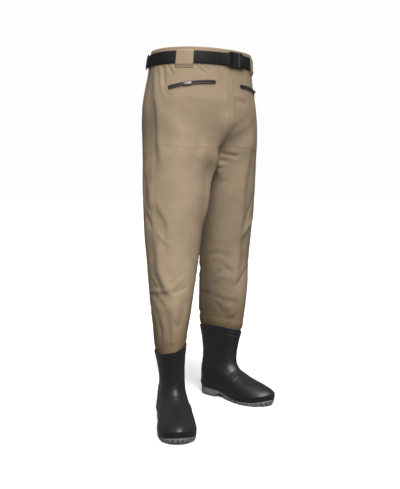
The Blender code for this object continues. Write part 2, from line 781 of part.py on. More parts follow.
def make_buckle():
    frame = buckle_frame()
    half = BUCKLE_LENGTH / 2
    half_height = BUCKLE_HEIGHT / 2
    low = BUCKLE_LOW
    high = BUCKLE_LOW + BUCKLE_THICKNESS
    mouth = -half + SOCKET_LENGTH
    socket_low = Vector((-half, low, -half_height))
    socket_high = Vector((mouth, high, half_height))
    socket = block("buckle_socket", socket_low, socket_high, 0.0016, frame, "buckle_plastic")
    strap_window(socket, frame, -half + BAR, -half + BAR + WINDOW)
    cavity_low = Vector((mouth - CAVITY_DEPTH, low + CAVITY_WALL, -CAVITY_HALF_HEIGHT))
    cavity_high = Vector((mouth + 0.005, high - CAVITY_WALL, CAVITY_HALF_HEIGHT))
    combine(socket, "DIFFERENCE", cavity_low, cavity_high, frame)
    prongs_low = Vector((mouth + GAP, low, -half_height))
    prongs_high = Vector((half, high, half_height))
    prongs = block("buckle_prongs", prongs_low, prongs_high, 0.0016, frame, "buckle_plastic")
    strap_window(prongs, frame, half - BAR, half - BAR - WINDOW)
    thin_low = low + CAVITY_WALL + PRONG_CLEARANCE
    thin_high = high - CAVITY_WALL - PRONG_CLEARANCE
    reach = CAVITY_HALF_HEIGHT - PRONG_CLEARANCE
    for start in (-reach, reach - PRONG_WIDTH):
        prong_low = (mouth - PRONG_LENGTH, thin_low, start)
        prong_high = (mouth + 0.003, thin_high, start + PRONG_WIDTH)
        combine(prongs, "UNION", prong_low, prong_high, frame)


def make_loop(name, side, angle):
    """A wide cloth loop, sewn to the waist above and below the belt and standing off it between."""
    row = smooth_row(SEAT, WAIST_HEIGHT)
    spread = LOOP_WIDTH / 2 / (row.half_depth + (row.half_width - row.half_depth) * cos(angle) ** 2)
    angles = [angle + spread * share for share in (-1, -0.5, 0, 0.5, 1)]
    sewn = SOFT_GAP + CLOTH / 2
    away = LOOP_STAND_OFF + CLOTH / 2
    profile = [(0.0, sewn), (0.006, sewn), (0.011, away), (0.030, away)]
    profile += [(0.053, away), (0.058, sewn), (LOOP_HEIGHT, sewn)]
    rings = []
    for drop, off in profile:
        outside = []
        inside = []
        for place in angles:
            height = waist_edge(seat_point(side, place, WAIST_HEIGHT)) - 0.001 - drop
            outside.append(seat_point(side, place, height, off + CLOTH / 2))
            inside.append(seat_point(side, place, height, off - CLOTH / 2))
        rings.append(outside + inside[::-1])
    ring_tube(name, rings, "cloth", capped=True)


# Zip pockets


def zip_point(side, share, rise=0.0):
    """A point of the cloth under a pocket's zip, from its inner end, share 0, to its outer end, share 1."""
    angle = ZIP_INNER.angle + share * (ZIP_OUTER.angle - ZIP_INNER.angle)
    height = ZIP_INNER.height + share * (ZIP_OUTER.height - ZIP_INNER.height) - ZIP_DROP[side]
    return seat_point(side, angle, height + ZIP_RISE * sin(pi * share) + rise)


def zip_frame(side, share):
    """Matrix with X along the zip to its inner end, Y off the cloth and Z across the zip."""
    along = (zip_point(side, share - 0.01) - zip_point(side, share + 0.01)).normalized()
    up = zip_point(side, share, ZIP_WIDTH / 2) - zip_point(side, share, -ZIP_WIDTH / 2)
    off = side * up.cross(along).normalized()
    frame = Matrix((along, off, along.cross(off))).transposed().to_4x4()
    frame.translation = zip_point(side, share)
    return frame


def make_zip(side):
    """The coated tape: a thin strip with round ends that lies on the cloth."""
    shares = [0.0, 0.012, 0.035, 0.12, 0.24, 0.36, 0.48, 0.60, 0.72, 0.84, 0.965, 0.988, 1.0]
    narrow = {0.0: 0.35, 0.012: 0.75, 0.988: 0.75, 1.0: 0.35}
    rings = []
    for share in shares:
        frame = zip_frame(side, share)
        half = ZIP_WIDTH / 2 * narrow.get(share, 1.0)
        low = SOFT_GAP
        high = SOFT_GAP + ZIP_THICKNESS
        corners = [(low, -half), (high, -half), (high, half), (low, half)]
        rings.append([frame @ Vector((0, off, across)) for off, across in corners])
    ring_tube(f"pocket_zip_{SIDE_NAMES[side]}", rings, "zip_tape", capped=True)


def make_zip_slider(side):
    """The slider's body with the bail that holds its pull."""
    frame = zip_frame(side, ZIP_SLIDER_SHARE)
    low = SOFT_GAP + ZIP_THICKNESS + 2 * GAP
    high = low + SLIDER_BODY.y
    half_length = SLIDER_BODY.x / 2
    half_width = SLIDER_BODY.z / 2
    name = f"zip_slider_{SIDE_NAMES[side]}"
    corner = Vector((half_length, high, half_width))
    slider = block(name, (-half_length, low, -half_width), corner, 0.0007, frame, "zip_metal")
    half_opening = BAIL_OPENING.x / 2
    half_bail = half_opening + BAIL_WALL
    bail_top = high + BAIL_OPENING.y + BAIL_WALL
    bail_low = Vector((-half_bail, high - 0.0005, -BAIL_WIDTH / 2))
    combine(slider, "UNION", bail_low, (half_bail, bail_top, BAIL_WIDTH / 2), frame)
    opening_low = Vector((-half_opening, high, -BAIL_WIDTH))
    combine(slider, "DIFFERENCE", opening_low, (half_opening, high + BAIL_OPENING.y, BAIL_WIDTH), frame)


def pull_axis(side):
    """Frame whose origin is on the pull's hinge axis and whose Z is that axis."""
    frame = zip_frame(side, ZIP_SLIDER_SHARE)
    height = SOFT_GAP + ZIP_THICKNESS + 2 * GAP + SLIDER_BODY.y + BAIL_OPENING.y / 2
    return frame @ Matrix.Translation((0, height, 0))


def make_zip_pull(side):
    """The pull tab. Its end bar passes under the bail and is the hinge."""
    frame = pull_axis(side)
    half = PULL_THICKNESS / 2
    name = f"zip_pull_{SIDE_NAMES[side]}"
    corner = Vector((PULL_LENGTH, half, PULL_WIDTH / 2))
    pull = block(name, (-half, -half, -PULL_WIDTH / 2), corner, 0.0003, frame, "zip_metal")
    eye_low = Vector((half, -0.003, -PULL_EYE / 2))
    combine(pull, "DIFFERENCE", eye_low, (half + PULL_EYE_LENGTH, 0.003, PULL_EYE / 2), frame)


def main():
    for obj in list(bpy.data.objects):
        bpy.data.objects.remove(obj)
    make_seat()
    for side in (RIGHT, LEFT):
        make_leg(side)
        make_boot(side)
        make_outsole(side)
        make_insole(side)
        make_zip(side)
        make_zip_slider(side)
        make_zip_pull(side)
    make_strap()
    make_slider()
    make_buckle()
    for name, (side, angle) in LOOP_ANGLES.items():
        make_loop(name, side, angle)


main()
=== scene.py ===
"""Looks of the waist waders: cloth, boots, soles, belt, zips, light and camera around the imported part.

Metres, +Z up. The wearer faces -Y, so the wearer's left is +X. The soles stand on Z = 0.
A place on the trousers is (turn, height). The turn runs round a leg in degrees: 0 inner side, 90 front,
180 outer side, 270 back. The height is in mm above the floor.
"""

from bisect import bisect_right
from collections import namedtuple
from math import cos, pi, radians, sin

import bmesh
import bpy
import numpy as np
from mathutils import Matrix, Vector, noise
from mathutils.kdtree import KDTree


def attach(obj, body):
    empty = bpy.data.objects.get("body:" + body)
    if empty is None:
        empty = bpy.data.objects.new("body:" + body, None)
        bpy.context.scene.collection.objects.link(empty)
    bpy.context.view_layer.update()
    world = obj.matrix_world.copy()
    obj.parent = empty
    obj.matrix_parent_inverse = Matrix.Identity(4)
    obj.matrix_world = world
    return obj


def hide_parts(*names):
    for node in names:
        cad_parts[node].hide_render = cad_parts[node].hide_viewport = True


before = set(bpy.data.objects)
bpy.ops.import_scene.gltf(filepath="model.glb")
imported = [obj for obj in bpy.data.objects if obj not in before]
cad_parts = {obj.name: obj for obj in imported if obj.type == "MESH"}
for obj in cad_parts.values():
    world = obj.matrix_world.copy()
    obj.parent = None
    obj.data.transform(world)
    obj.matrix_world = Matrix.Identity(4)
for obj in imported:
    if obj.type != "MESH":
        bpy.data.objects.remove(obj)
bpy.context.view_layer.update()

MM = 0.001
RIGHT = -1
LEFT = 1
SIDES = (RIGHT, LEFT)
SIDE_NAMES = {RIGHT: "right", LEFT: "left"}
BODY = "waders"

# Photograph: the camera's place, its aim and the frame that its lens is worked out from
PHOTO_HEIGHT = 489
FOCAL_PIXELS = 788.2
SENSOR = 36.0
CAMERA_AIM = Vector((0.0491, 0.0535))
CAMERA_DISTANCE = 2.508
CAMERA_HEIGHT = 0.714
CAMERA_SIDE = radians(39.2)
CAMERA_PITCH = radians(-4.41)

# Stance: where each heel stands on the floor, and how far each toe turns out
Stance = namedtuple("Stance", "heel_x heel_y toe_out")
STANCES = {
    RIGHT: Stance(-0.1033, 0.0331, radians(29.5)),
    LEFT: Stance(0.1702, 0.1875, radians(8.0)),
}
WAIST_CENTRE = Vector((0.0761, 0.0785))

# Heights and walls, as in the part
WAIST_HEIGHT = 1.122
WAIST_SIDE_DROP = 0.006
WAIST_FRONT_DROP = -0.009
CROTCH_HEIGHT = 0.765
GROIN_RISE = 0.085
RIM_HEIGHT = 0.230
RIM_FRONT_SLOPE = -0.01
RIM_INNER_SLOPE = 0.30
CLOTH = 0.0010
BOOT_WALL = 0.0025
GAP = 0.0003
SOFT_GAP = 0.0006
CROTCH_SHARE = 3 / 28

# Seat of the trousers: level sections from the crotch to the waist
SeatRow = namedtuple("SeatRow", "height half_width half_depth set_back")
SEAT = [
    SeatRow(0.770, 0.198, 0.142, 0.009),
    SeatRow(0.835, 0.200, 0.147, 0.010),
    SeatRow(0.892, 0.200, 0.149, 0.010),
    SeatRow(0.949, 0.197, 0.147, 0.009),
    SeatRow(1.015, 0.1865, 0.1395, 0.0085),
    SeatRow(1.053, 0.1795, 0.1340, 0.0055),
    SeatRow(1.089, 0.1750, 0.1300, 0.0025),
    SeatRow(1.125, 0.1705, 0.1260, -0.0005),
]
SEAT_POWER = 2.15
SEAT_BLEND = 0.130
YOKE_DROP = 0.072
YOKE_RISE = 0.80

# Legs: sections from the boot rim, share 0, to the crotch, share 1
LegRow = namedtuple("LegRow", "share half_width half_depth")
LEG = [
    LegRow(0.00, 0.0440, 0.0850),
    LegRow(0.09, 0.0502, 0.0910),
    LegRow(0.17, 0.0562, 0.0935),
    LegRow(0.31, 0.0672, 0.0920),
    LegRow(0.46, 0.0780, 0.0880),
    LegRow(0.63, 0.0865, 0.0980),
    LegRow(0.77, 0.0925, 0.1110),
    LegRow(0.88, 0.0955, 0.1190),
    LegRow(1.00, 0.1000, 0.1250),
]
HIP_OUT = 0.096
HIP_BACK = 0.006
BOW_OUT = {RIGHT: 0.012, LEFT: 0.005}
BOW_FORWARD = 0.008
TUCK = 0.030
TUCK_SHARE = 0.06
RIM_FADE = 0.22
GROIN_START = 0.90
GROIN_RISE_START = 0.55
GROIN_RISE_RUN = 0.45
GROIN_PULL_RUN = 0.06

# Boots: level rings of the upper, in the foot's own frame, from the feather line to the rim.
# Heel, waist, ball and toe are half widths; shift is how far the ring lies inwards
BootRow = namedtuple("BootRow", "height back front heel waist ball toe shift")
BOOT = [
    BootRow(0.0285, 0.0060, 0.2990, 0.0315, 0.0325, 0.0510, 0.0375, 0.0000),
    BootRow(0.0380, 0.0020, 0.3050, 0.0350, 0.0360, 0.0550, 0.0420, 0.0000),
    BootRow(0.0470, 0.0025, 0.3025, 0.0350, 0.0362, 0.0545, 0.0410, 0.0000),
    BootRow(0.0590, 0.0045, 0.2885, 0.0345, 0.0360, 0.0510, 0.0355, 0.0010),
    BootRow(0.0710, 0.0065, 0.2630, 0.0340, 0.0355, 0.0460, 0.0295, 0.0025),
    BootRow(0.0845, 0.0095, 0.2140, 0.0330, 0.0350, 0.0405, 0.0255, 0.0035),
    BootRow(0.0950, 0.0120, 0.1800, 0.0315, 0.0350, 0.0375, 0.0240, 0.0042),
    BootRow(0.1080, 0.0140, 0.1625, 0.0300, 0.0350, 0.0355, 0.0230, 0.0045),
    BootRow(0.1220, 0.0155, 0.1550, 0.0280, 0.0352, 0.0348, 0.0225, 0.0045),
    BootRow(0.1450, 0.0150, 0.1540, 0.0265, 0.0362, 0.0352, 0.0225, 0.0035),
    BootRow(0.1700, 0.0110, 0.1570, 0.0270, 0.0380, 0.0365, 0.0230, 0.0020),
    BootRow(0.2000, 0.0040, 0.1630, 0.0280, 0.0410, 0.0395, 0.0255, 0.0010),
    BootRow(0.2300, -0.0030, 0.1690, 0.0295, 0.0440, 0.0425, 0.0275, 0.0000),
]
PLACES = (0.90, 0.68, 0.40, 0.12)
BOOT_LENGTH = 0.307
INWARD_SWING = 0.004
FLAT_RING_HEIGHT = 0.130
RIM_TILT_START = 0.150
BAND_HEIGHT = 0.018
BAND_STEP = 0.0012
COLLAR = RIM_HEIGHT - BAND_HEIGHT
COLLAR_MIDDLE = (BOOT[-1].back + BOOT[-1].front) / 2

# Outsole: top line and ground line from heel to toe
SoleRow = namedtuple("SoleRow", "along top ground")
SOLE = [
    SoleRow(0.000, 0.0290, 0.0040),
    SoleRow(0.014, 0.0285, 0.0000),
    SoleRow(0.040, 0.0280, 0.0000),
    SoleRow(0.086, 0.0265, 0.0000),
    SoleRow(0.106, 0.0250, 0.0110),
    SoleRow(0.126, 0.0225, 0.0090),
    SoleRow(0.146, 0.0195, 0.0000),
    SoleRow(0.190, 0.0155, 0.0000),
    SoleRow(0.228, 0.0155, 0.0000),
    SoleRow(0.266, 0.0190, 0.0040),
    SoleRow(0.307, 0.0280, 0.0130),
]
HEEL_SEAT = 0.0285
SOLE_INSET = 0.0012
SOLE_STEP = 0.0010
LUG_DEPTH = 0.0048
LUG_PITCH = 0.0160
LUG_GROOVE = 0.0050
LUG_SLOPE = 0.0008
LUG_MIDDLE = 0.007
LUG_ROOT = 0.0006
LUG_RINGS = 5
SOLE_ROUND = 0.0005
SHARP = radians(30)
LUG_NOTCH = 0.0022
TOE_LUGS_START = 0.2735
TOE_LUG_PITCH = 0.0150
TOE_LUG_GROOVE = 0.0042
TOE_LUG_DEPTH = 0.016
HEEL_LUGS = (0.006, 0.088)
FORE_LUGS = (0.146, 0.275)
# The slab's side as (inset, drop), and its underside as (inset, lift, share of the way to the middle line)
SLAB_SIDE = [(0.012, 0.0), (0.0, 0.0), (0.0, 0.0020), (0.0008, 0.0026), (0.0008, 0.0036), (0.0, 0.0042)]
SLAB_UNDER = [(0.0, 0.0010, 0.0), (0.0010, 0.0, 0.0), (0.0010, 0.0, 0.5), (0.0010, 0.0, 0.98)]

# Belt: measured along the body from the centre front, positive to the wearer's left
BELT_TOP_DROP = 0.012
BELT_WIDTH = 0.037
STRAP = 0.0015
BODY_LAYER = SOFT_GAP + STRAP / 2
RETURN_LAYER = BODY_LAYER + STRAP + 0.0004
BUCKLE_START = 0.000
BUCKLE_LENGTH = 0.056
SLIDER_ANGLE = radians(121.0)
SLIDER_BAR = 0.0040
SLIDER_WINDOW = 0.0066
OVER_SLIDER = RETURN_LAYER + STRAP + 0.0049
BAR = 0.0040
OVER_BAR = BODY_LAYER + STRAP + 0.0044
FOLD_LENGTH = 0.026
TAIL_LENGTH = 0.050
RIB_PITCH = 0.0026
RIB_HEIGHT = 0.00022
STRAP_CLEAR = 0.0006
BAR_APPROACH = 0.003
SLIDER_EXIT = 0.008
STRAP_ACROSS = (0.0, 0.03, 0.5, 0.97, 1.0)
STRAP_EDGE = 0.45
RETURN_STEPS = 30
BODY_STEPS = 120
MOULDED_ROUND = 0.0005
CAST_ROUND = 0.0003

# Belt loops: side and angle round the waist from the centre front
LOOPS = {
    "belt_loop_front_right": (RIGHT, radians(49.5)),
    "belt_loop_front_left": (LEFT, radians(48.0)),
    "belt_loop_back": (LEFT, pi),
}
LOOP_WIDTH = 0.052
LOOP_HEIGHT = 0.062
LOOP_STAND_OFF = RETURN_LAYER + STRAP / 2 + STRAP_CLEAR
LOOP_ROWS = 44
LOOP_COLUMNS = 24
LOOP_TOP_DROP = 0.001
# Where a loop leaves the cloth below its upper end and comes back above its lower end, and over which length
LOOP_LEAVES = (0.0065, 0.005)
LOOP_RETURNS = (0.0010, 0.012)
# Bead along a loop's sides: its height, its place and its width as shares of half the loop
LOOP_HEM = (0.0003, 0.93, 0.05)
LOOP_STITCH_DROPS = (0.0026, 0.0050, LOOP_HEIGHT - 0.0030)
LOOP_STITCH_SHARES = (-0.86, 0.86)

# Zip pockets: from the inner, upper end to the outer, lower end
ZipEnd = namedtuple("ZipEnd", "angle height")
ZIP_INNER = ZipEnd(radians(13.5), 1.020)
ZIP_OUTER = ZipEnd(radians(66.0), 1.001)
ZIP_DROP = {RIGHT: 0.0, LEFT: 0.005}
ZIP_RISE = 0.004
ZIP_WIDTH = 0.0125
ZIP_THICKNESS = 0.0012
ZIP_LENGTH = 0.135
ZIP_RINGS = 60
ZIP_END_RINGS = 12
ZIP_END_SHARE = 0.05
ZIP_END_HALF = 0.0012
ZIP_SLIT = 0.0007
ZIP_SLIT_FLOOR = 0.0003
ZIP_ROUND_DOWN = 0.0004
ZIP_ROUND_IN = 0.0006
LIP_GAP = 0.0008
LIP_HALF_HEIGHT = 0.0011
LIP_HALF_WIDTH = 0.0012
LIP_CORNERS = 8
LIP_LIFT = 0.0007
LIP_STITCH_OUT = 0.0030
LIP_STITCH_DOWN = 0.0005

# Mesh density: columns round a leg, and rows up a leg, the seat and a boot
COLUMNS = 168
CROTCH_COLUMNS = round(COLUMNS * CROTCH_SHARE)
LEG_ROWS = 177
SEAT_ROWS = 96
TUCK_ROWS = 12
BOOT_COLUMNS = 112
SOLE_COLUMNS = 448
LINING_STEP = 3
# Rounding of the groin and tightening of the right front, in rows and columns of the skin
GROIN_SPAN = 20
GROIN_ROUNDS = 80
GROIN_SIDE = 10
FRONT_LAST = 60
FRONT_BELOW = 36
FRONT_ABOVE = 54
FRONT_ROUNDS = 200
FRONT_FADE = 12
FLY_FADE = 5

# Folds of the cloth, in mm: a trough of a depth (a ridge if negative) along a path, with a lip on each side.
# Left and right are as seen from outside, on the way along the path
Fold = namedtuple("Fold", "side width depth left right path")
FOLDS = [
    # Right hip, under the belt
    Fold(RIGHT, 6, 3.6, 0.0, 2.4, [(163, 1080), (156, 1046), (150, 1010), (138, 970)]),
    Fold(RIGHT, 4.5, 3.0, 1.5, 0.0, [(186, 1080), (183, 1055), (178, 1018)]),
    Fold(RIGHT, 4, 2.4, 1.6, 0.0, [(150, 1082), (143, 1058), (134, 1038)]),
    Fold(RIGHT, 4, 2.4, 1.6, 0.0, [(97, 1082), (87, 1058), (75, 1044)]),
    Fold(RIGHT, 4, 1.8, 1.0, 0.0, [(90, 1082), (80, 1064), (66, 1054)]),
    Fold(RIGHT, 22, 1.8, 1.0, 0.0, [(140, 965), (124, 919), (104, 868)]),
    # Fullness over the thighs and beside the fly
    Fold(RIGHT, 44, -6.0, 0.0, 0.0, [(160, 866), (120, 832), (100, 815), (80, 802), (60, 788), (40, 774)]),
    Fold(RIGHT, 36, -6.5, 0.0, 0.0, [(100, 815), (80, 803), (60, 790), (44, 778), (24, 768)]),
    Fold(LEFT, 34, -7.0, 0.0, 0.0, [(110, 862), (86, 842), (62, 826), (40, 810)]),
    Fold(RIGHT, 20, -8.5, 0.0, 0.0, [(56, 880), (52, 800), (48, 740), (46, 690), (44, 640), (40, 570)]),
    Fold(RIGHT, 24, -3.6, 0.0, 0.0, [(42, 940), (42, 880), (44, 815)]),
    # Crotch whiskers on the left leg
    Fold(LEFT, 6.5, 2.2, 1.1, 0.6, [(38, 815), (52, 805), (70, 799)]),
    Fold(LEFT, 6.5, 2.2, 1.1, 0.6, [(34, 794), (52, 782)]),
    Fold(LEFT, 7.0, 2.6, 1.2, 0.6, [(26, 778), (46, 758)]),
    # Left hip
    Fold(LEFT, 12, 1.2, 0.8, 0.0, [(92, 938), (56, 897), (38, 870)]),
    Fold(LEFT, 10, 1.8, 1.0, 0.0, [(44, 964), (58, 966), (76, 960)]),
    Fold(LEFT, 4, 2.0, 1.2, 0.0, [(90, 1080), (100, 1050), (108, 1034)]),
    # Right leg, outer side: pinches beside the outseam
    Fold(RIGHT, 9, -3.0, 0.0, 0.0, [(178, 718), (174, 680), (170, 636)]),
    Fold(RIGHT, 10, 3.4, 0.0, 1.5, [(192, 745), (193, 690), (189, 640)]),
    Fold(RIGHT, 9, 2.4, 1.2, 0.0, [(188, 628), (176, 600), (166, 582)]),
    # Right leg: a narrow ridge over the knee and one beside it
    Fold(RIGHT, 6, -2.0, 0.0, 0.0, [(156, 578), (144, 558), (132, 542), (122, 528)]),
    Fold(RIGHT, 5, -1.6, 0.0, 0.0, [(174, 444), (160, 428), (146, 412)]),
    # Right knee, a star of creases
    Fold(RIGHT, 6, -2.0, 0.0, 0.0, [(190, 390), (160, 399), (140, 402), (112, 402)]),
    Fold(RIGHT, 8, 1.5, 0.0, 0.0, [(186, 383), (166, 385), (140, 388), (110, 397)]),
    Fold(RIGHT, 6, -2.8, 0.0, 0.0, [(118, 396), (106, 415), (96, 429), (84, 446)]),
    Fold(RIGHT, 6, 1.8, 0.0, 0.0, [(118, 416), (106, 429), (98, 438), (88, 452)]),
    Fold(RIGHT, 7, 3.0, 0.0, 0.0, [(114, 392), (96, 404), (84, 408), (68, 416)]),
    # Right shin
    Fold(RIGHT, 9, 1.9, 1.1, 0.0, [(166, 388), (150, 373), (140, 364), (122, 348)]),
    Fold(RIGHT, 15, -4.4, 0.0, 0.0, [(114, 376), (104, 352), (98, 334), (94, 304)]),
    Fold(RIGHT, 13, 3.3, 0.0, 0.0, [(78, 388), (75, 350), (80, 322), (88, 288)]),
    Fold(RIGHT, 11, 2.8, 0.0, 0.0, [(125, 352), (121, 322), (118, 300), (112, 256)]),
    Fold(RIGHT, 10, 3.2, 0.0, 0.0, [(160, 350), (150, 318), (138, 270)]),
    Fold(RIGHT, 6, -2.0, 0.0, 0.0, [(104, 322), (102, 285), (100, 246)]),
    # Left leg: the kink across the plane beside its front edge
    Fold(LEFT, 9, 3.0, 0.0, 0.0, [(126, 696), (112, 655), (101, 622), (86, 570)]),
    Fold(LEFT, 10, -3.6, 0.0, 0.0, [(134, 616), (110, 584), (94, 562), (78, 536)]),
    # Left knee
    Fold(LEFT, 7, -1.3, 0.0, 0.0, [(0, 384), (26, 411), (44, 412), (64, 401)]),
    Fold(LEFT, 7, 1.6, 0.0, 0.0, [(20, 423), (40, 436), (56, 426)]),
    Fold(LEFT, 7, 1.6, 0.0, 0.0, [(32, 456), (46, 442), (60, 426)]),
    Fold(LEFT, 9, 0.9, 0.5, 0.4, [(350, 470), (10, 486), (34, 488), (60, 470)]),
    Fold(LEFT, 8, 2.0, 0.0, 1.0, [(114, 444), (96, 420), (76, 398), (56, 374)]),
    Fold(LEFT, 9, 1.1, 0.5, 0.0, [(326, 354), (345, 350), (8, 350)]),
    Fold(LEFT, 10, 1.3, 0.8, 0.0, [(8, 350), (30, 336), (52, 330), (78, 325)]),
    Fold(LEFT, 7, 1.4, 0.0, 0.0, [(8, 330), (20, 312), (25, 294)]),
    Fold(LEFT, 16, -2.6, 0.0, 0.0, [(44, 325), (48, 300), (54, 275)]),
    Fold(LEFT, 8, 2.0, 0.0, 1.0, [(70, 300), (62, 272), (60, 250)]),
    # Left leg, outer side
    Fold(LEFT, 11, 4.0, 1.5, 1.5, [(170, 700), (150, 640), (140, 590)]),
    Fold(LEFT, 9, 3.6, 1.2, 1.2, [(200, 500), (168, 465), (130, 452)]),
    Fold(LEFT, 8, 3.0, 1.2, 0.0, [(196, 404), (160, 388), (128, 396)]),
    Fold(LEFT, 10, 4.0, 0.0, 1.5, [(160, 1074), (164, 990), (166, 900)]),
    # Seat and back of the legs, finished plainly
    *[Fold(side, 14, 4.5, 1.5, 1.5, [(312, 822), (284, 786), (252, 772), (222, 782)]) for side in SIDES],
    *[Fold(side, 16, 4.0, 1.0, 1.0, [(300, 880), (270, 846), (232, 838)]) for side in SIDES],
    Fold(RIGHT, 10, 4.5, 1.5, 1.5, [(226, 486), (270, 468), (322, 486)]),
    Fold(LEFT, 10, 4.5, 1.5, 1.5, [(222, 478), (268, 462), (320, 482)]),
    Fold(RIGHT, 9, 4.0, 1.5, 1.5, [(214, 444), (262, 424), (316, 440)]),
    Fold(LEFT, 9, 4.0, 1.5, 1.5, [(228, 436), (276, 418), (326, 438)]),
    Fold(RIGHT, 10, 3.0, 1.0, 1.0, [(236, 540), (272, 528), (304, 540)]),
    Fold(LEFT, 10, 3.0, 1.0, 1.0, [(240, 536), (276, 524), (306, 534)]),
    Fold(RIGHT, 8, 3.0, 1.2, 0.0, [(206, 286), (262, 270), (330, 284)]),
    Fold(LEFT, 8, 3.0, 1.2, 0.0, [(200, 280), (258, 268), (324, 286)]),
    Fold(RIGHT, 10, 3.0, 1.0, 1.0, [(210, 1074), (212, 990), (216, 930)]),
    Fold(LEFT, 10, 3.0, 1.0, 1.0, [(250, 1074), (246, 990), (240, 930)]),
]
# The long edges where a front plane turns to a side plane. Seen on the way down, the side plane is to the
# left, 1, or to the right, -1. It falls within the run and comes back slowly. In mm, as the folds.
Edge = namedtuple("Edge", "side way run fall ridge path")
EDGE_WIDTH = 0.6
EDGE_STEEPNESS = 2
EDGE_RETURN = 3
EDGES = [
    Edge(
        RIGHT, -1, 26, 7.5, 2.6,
        [(184, 1100), (175, 1035), (166, 973), (161, 937), (162, 848), (157, 805), (150, 740)],
    ),
    Edge(RIGHT, -1, 18, 4.0, 1.6, [(158, 672), (148, 638), (136, 613), (128, 585), (124, 548), (116, 490)]),
    Edge(
        RIGHT, -1, 26, 9.0, 3.4,
        [(154, 600), (145, 519), (143, 486), (140, 459), (131, 429), (116, 402), (100, 366)],
    ),
    Edge(
        LEFT, 1, 26, 7.0, 2.6,
        [(98, 890), (84, 770), (77, 692), (76, 612), (73, 520), (70, 452), (63, 400), (54, 356)],
    ),
]
# How far a fold reaches: along its path, past its ends and sides, over the middle plane and round the leg
FOLD_STEP = 0.004
FOLD_TAPER = 0.22
FOLD_REACH = 5
LIP_PLACE = 1.7
MIDDLE_OVERLAP = 0.030
MIDDLE_FADE = 0.045
FACING_START = 0.10
FACING_FADE = 0.50
# Unevenness of the cloth: height and size of its waves
WAVES = [(1.2 * MM, 0.085), (0.5 * MM, 0.032)]
# Where the folds fade out, at the belt, round the zips and at the boots
BELT_CLEAR = 1.070
BELT_OVERLAP = 0.004
BELT_FADE = 0.012
ZIP_CLEAR = 0.016
ZIP_FLAT = 0.6
ZIP_REACH = 0.06
RIM_CLEAR = 0.004
RIM_RUN = 0.020
# Map of the weave, turned edge at the waist, and the lining
LEG_ROUND = 0.55
HEM = 0.020
LINING_DEPTH = 0.0016
FOLD_ROOM = 0.0040
LINING_START = 0.008
LINING_RUN = 0.030

# Seams: rows of stitches along a path, with a raised allowance under them
Seam = namedtuple("Seam", "side rows spread rise path")
SEAMS = [
    # Outer sides
    Seam(
        RIGHT, 2, 8.0, 1.1,
        [(180, 1068), (175, 968), (176, 816), (167, 665), (159, 560), (151, 402), (145, 245)],
    ),
    Seam(
        LEFT, 2, 8.0, 1.1,
        [(180, 1068), (175, 968), (176, 816), (170, 665), (166, 560), (160, 402), (152, 245)],
    ),
    # Fly, centre back, thighs and inner sides
    *[Seam(side, 1, 0.0, 1.5, [(42.5, 1068), (42.5, 940), (43.5, 840)]) for side in SIDES],
    *[Seam(side, 1, 0.0, 0.6, [(317, 1068), (317, 900), (317, 790)]) for side in SIDES],
    *[Seam(side, 1, 0.0, 0.5, [(176, 838), (142, 831), (112, 824), (76, 828), (44, 836)]) for side in SIDES],
    *[Seam(side, 2, 7.0, 0.6, [(352, 742), (344, 600), (338, 450), (336, 250)]) for side in SIDES],
]
SEAM_WIDTH = 3.0
SEAM_SPREAD = 0.6
STITCH = 0.0030
STITCH_PITCH = 0.0042
STITCH_ENDS = (0.2, 0.8)
STITCH_RADIUS = 0.00045

# Stage: the floor, and how bright the surround is to the camera and to everything else
FLOOR_RADIUS = 40.0
FLOOR_CORNERS = 96
SURROUND_SEEN = 0.99
SURROUND_LIGHT = 0.25


# Small tools


def smooth_row(rows, key):
    """The table's values at key, on a smooth curve through its rows."""
    kind = type(rows[0])
    keys = [row[0] for row in rows]
    if key <= keys[0]:
        return rows[0]
    if key >= keys[-1]:
        return rows[-1]
    index = bisect_right(keys, key) - 1
    span = keys[index + 1] - keys[index]
    t = (key - keys[index]) / span

    def slope(place, column):
        before = max(place - 1, 0)
        after = min(place + 1, len(rows) - 1)
        return (rows[after][column] - rows[before][column]) / (keys[after] - keys[before])

    values = [key]
    for column in range(1, len(rows[0])):
        start = rows[index][column]
        end = rows[index + 1][column]
        leave = slope(index, column) * span
        arrive = slope(index + 1, column) * span
        cubic = start + leave * t
        cubic += (3 * (end - start) - 2 * leave - arrive) * t**2
        cubic += (leave + arrive - 2 * (end - start)) * t**3
        values.append(cubic)
    return kind(*values)


def curve_point(p0, p1, p2, p3, t):
    """A point of a Catmull-Rom curve, from p1 to p2."""
    bend = (2 * p0 - 5 * p1 + 4 * p2 - p3) * t**2
    twist = (3 * p1 - p0 - 3 * p2 + p3) * t**3
    return 0.5 * (2 * p1 + (p2 - p0) * t + bend + twist)


def smooth_path(points, count):
    """Count points on a smooth open curve through the points, evenly shared among their spans."""
    points = [Vector(point) for point in points]
    spans = len(points) - 1
    ends = [2 * points[0] - points[1], *points, 2 * points[-1] - points[-2]]
    path = []
    for k in range(count):
        place = spans * k / (count - 1)
        index = min(int(place), spans - 1)
        path.append(curve_point(*ends[index : index + 4], place - index))
    return path


def running_lengths(points):
    """How far each point lies along the line through the points."""
    lengths = [0.0]
    for a, b in zip(points, points[1:]):
        lengths.append(lengths[-1] + (b - a).length)
    return lengths


def span_at(lengths, distance):
    """Number of the span that a distance falls in, and the share of that span."""
    index = min(bisect_right(lengths, distance) - 1, len(lengths) - 2)
    return index, (distance - lengths[index]) / max(lengths[index + 1] - lengths[index], 1e-9)


def ease(value):
    """0 to 1 with a soft start and a soft end."""
    value = min(max(value, 0.0), 1.0)
    return value * value * (3 - 2 * value)


def eased(values):
    """The same for an array."""
    values = np.clip(values, 0.0, 1.0)
    return values * values * (3 - 2 * values)


def powered(value, power):
    """A cosine or sine reshaped for a superellipse."""
    return (1 if value >= 0 else -1) * abs(value) ** (2 / power)


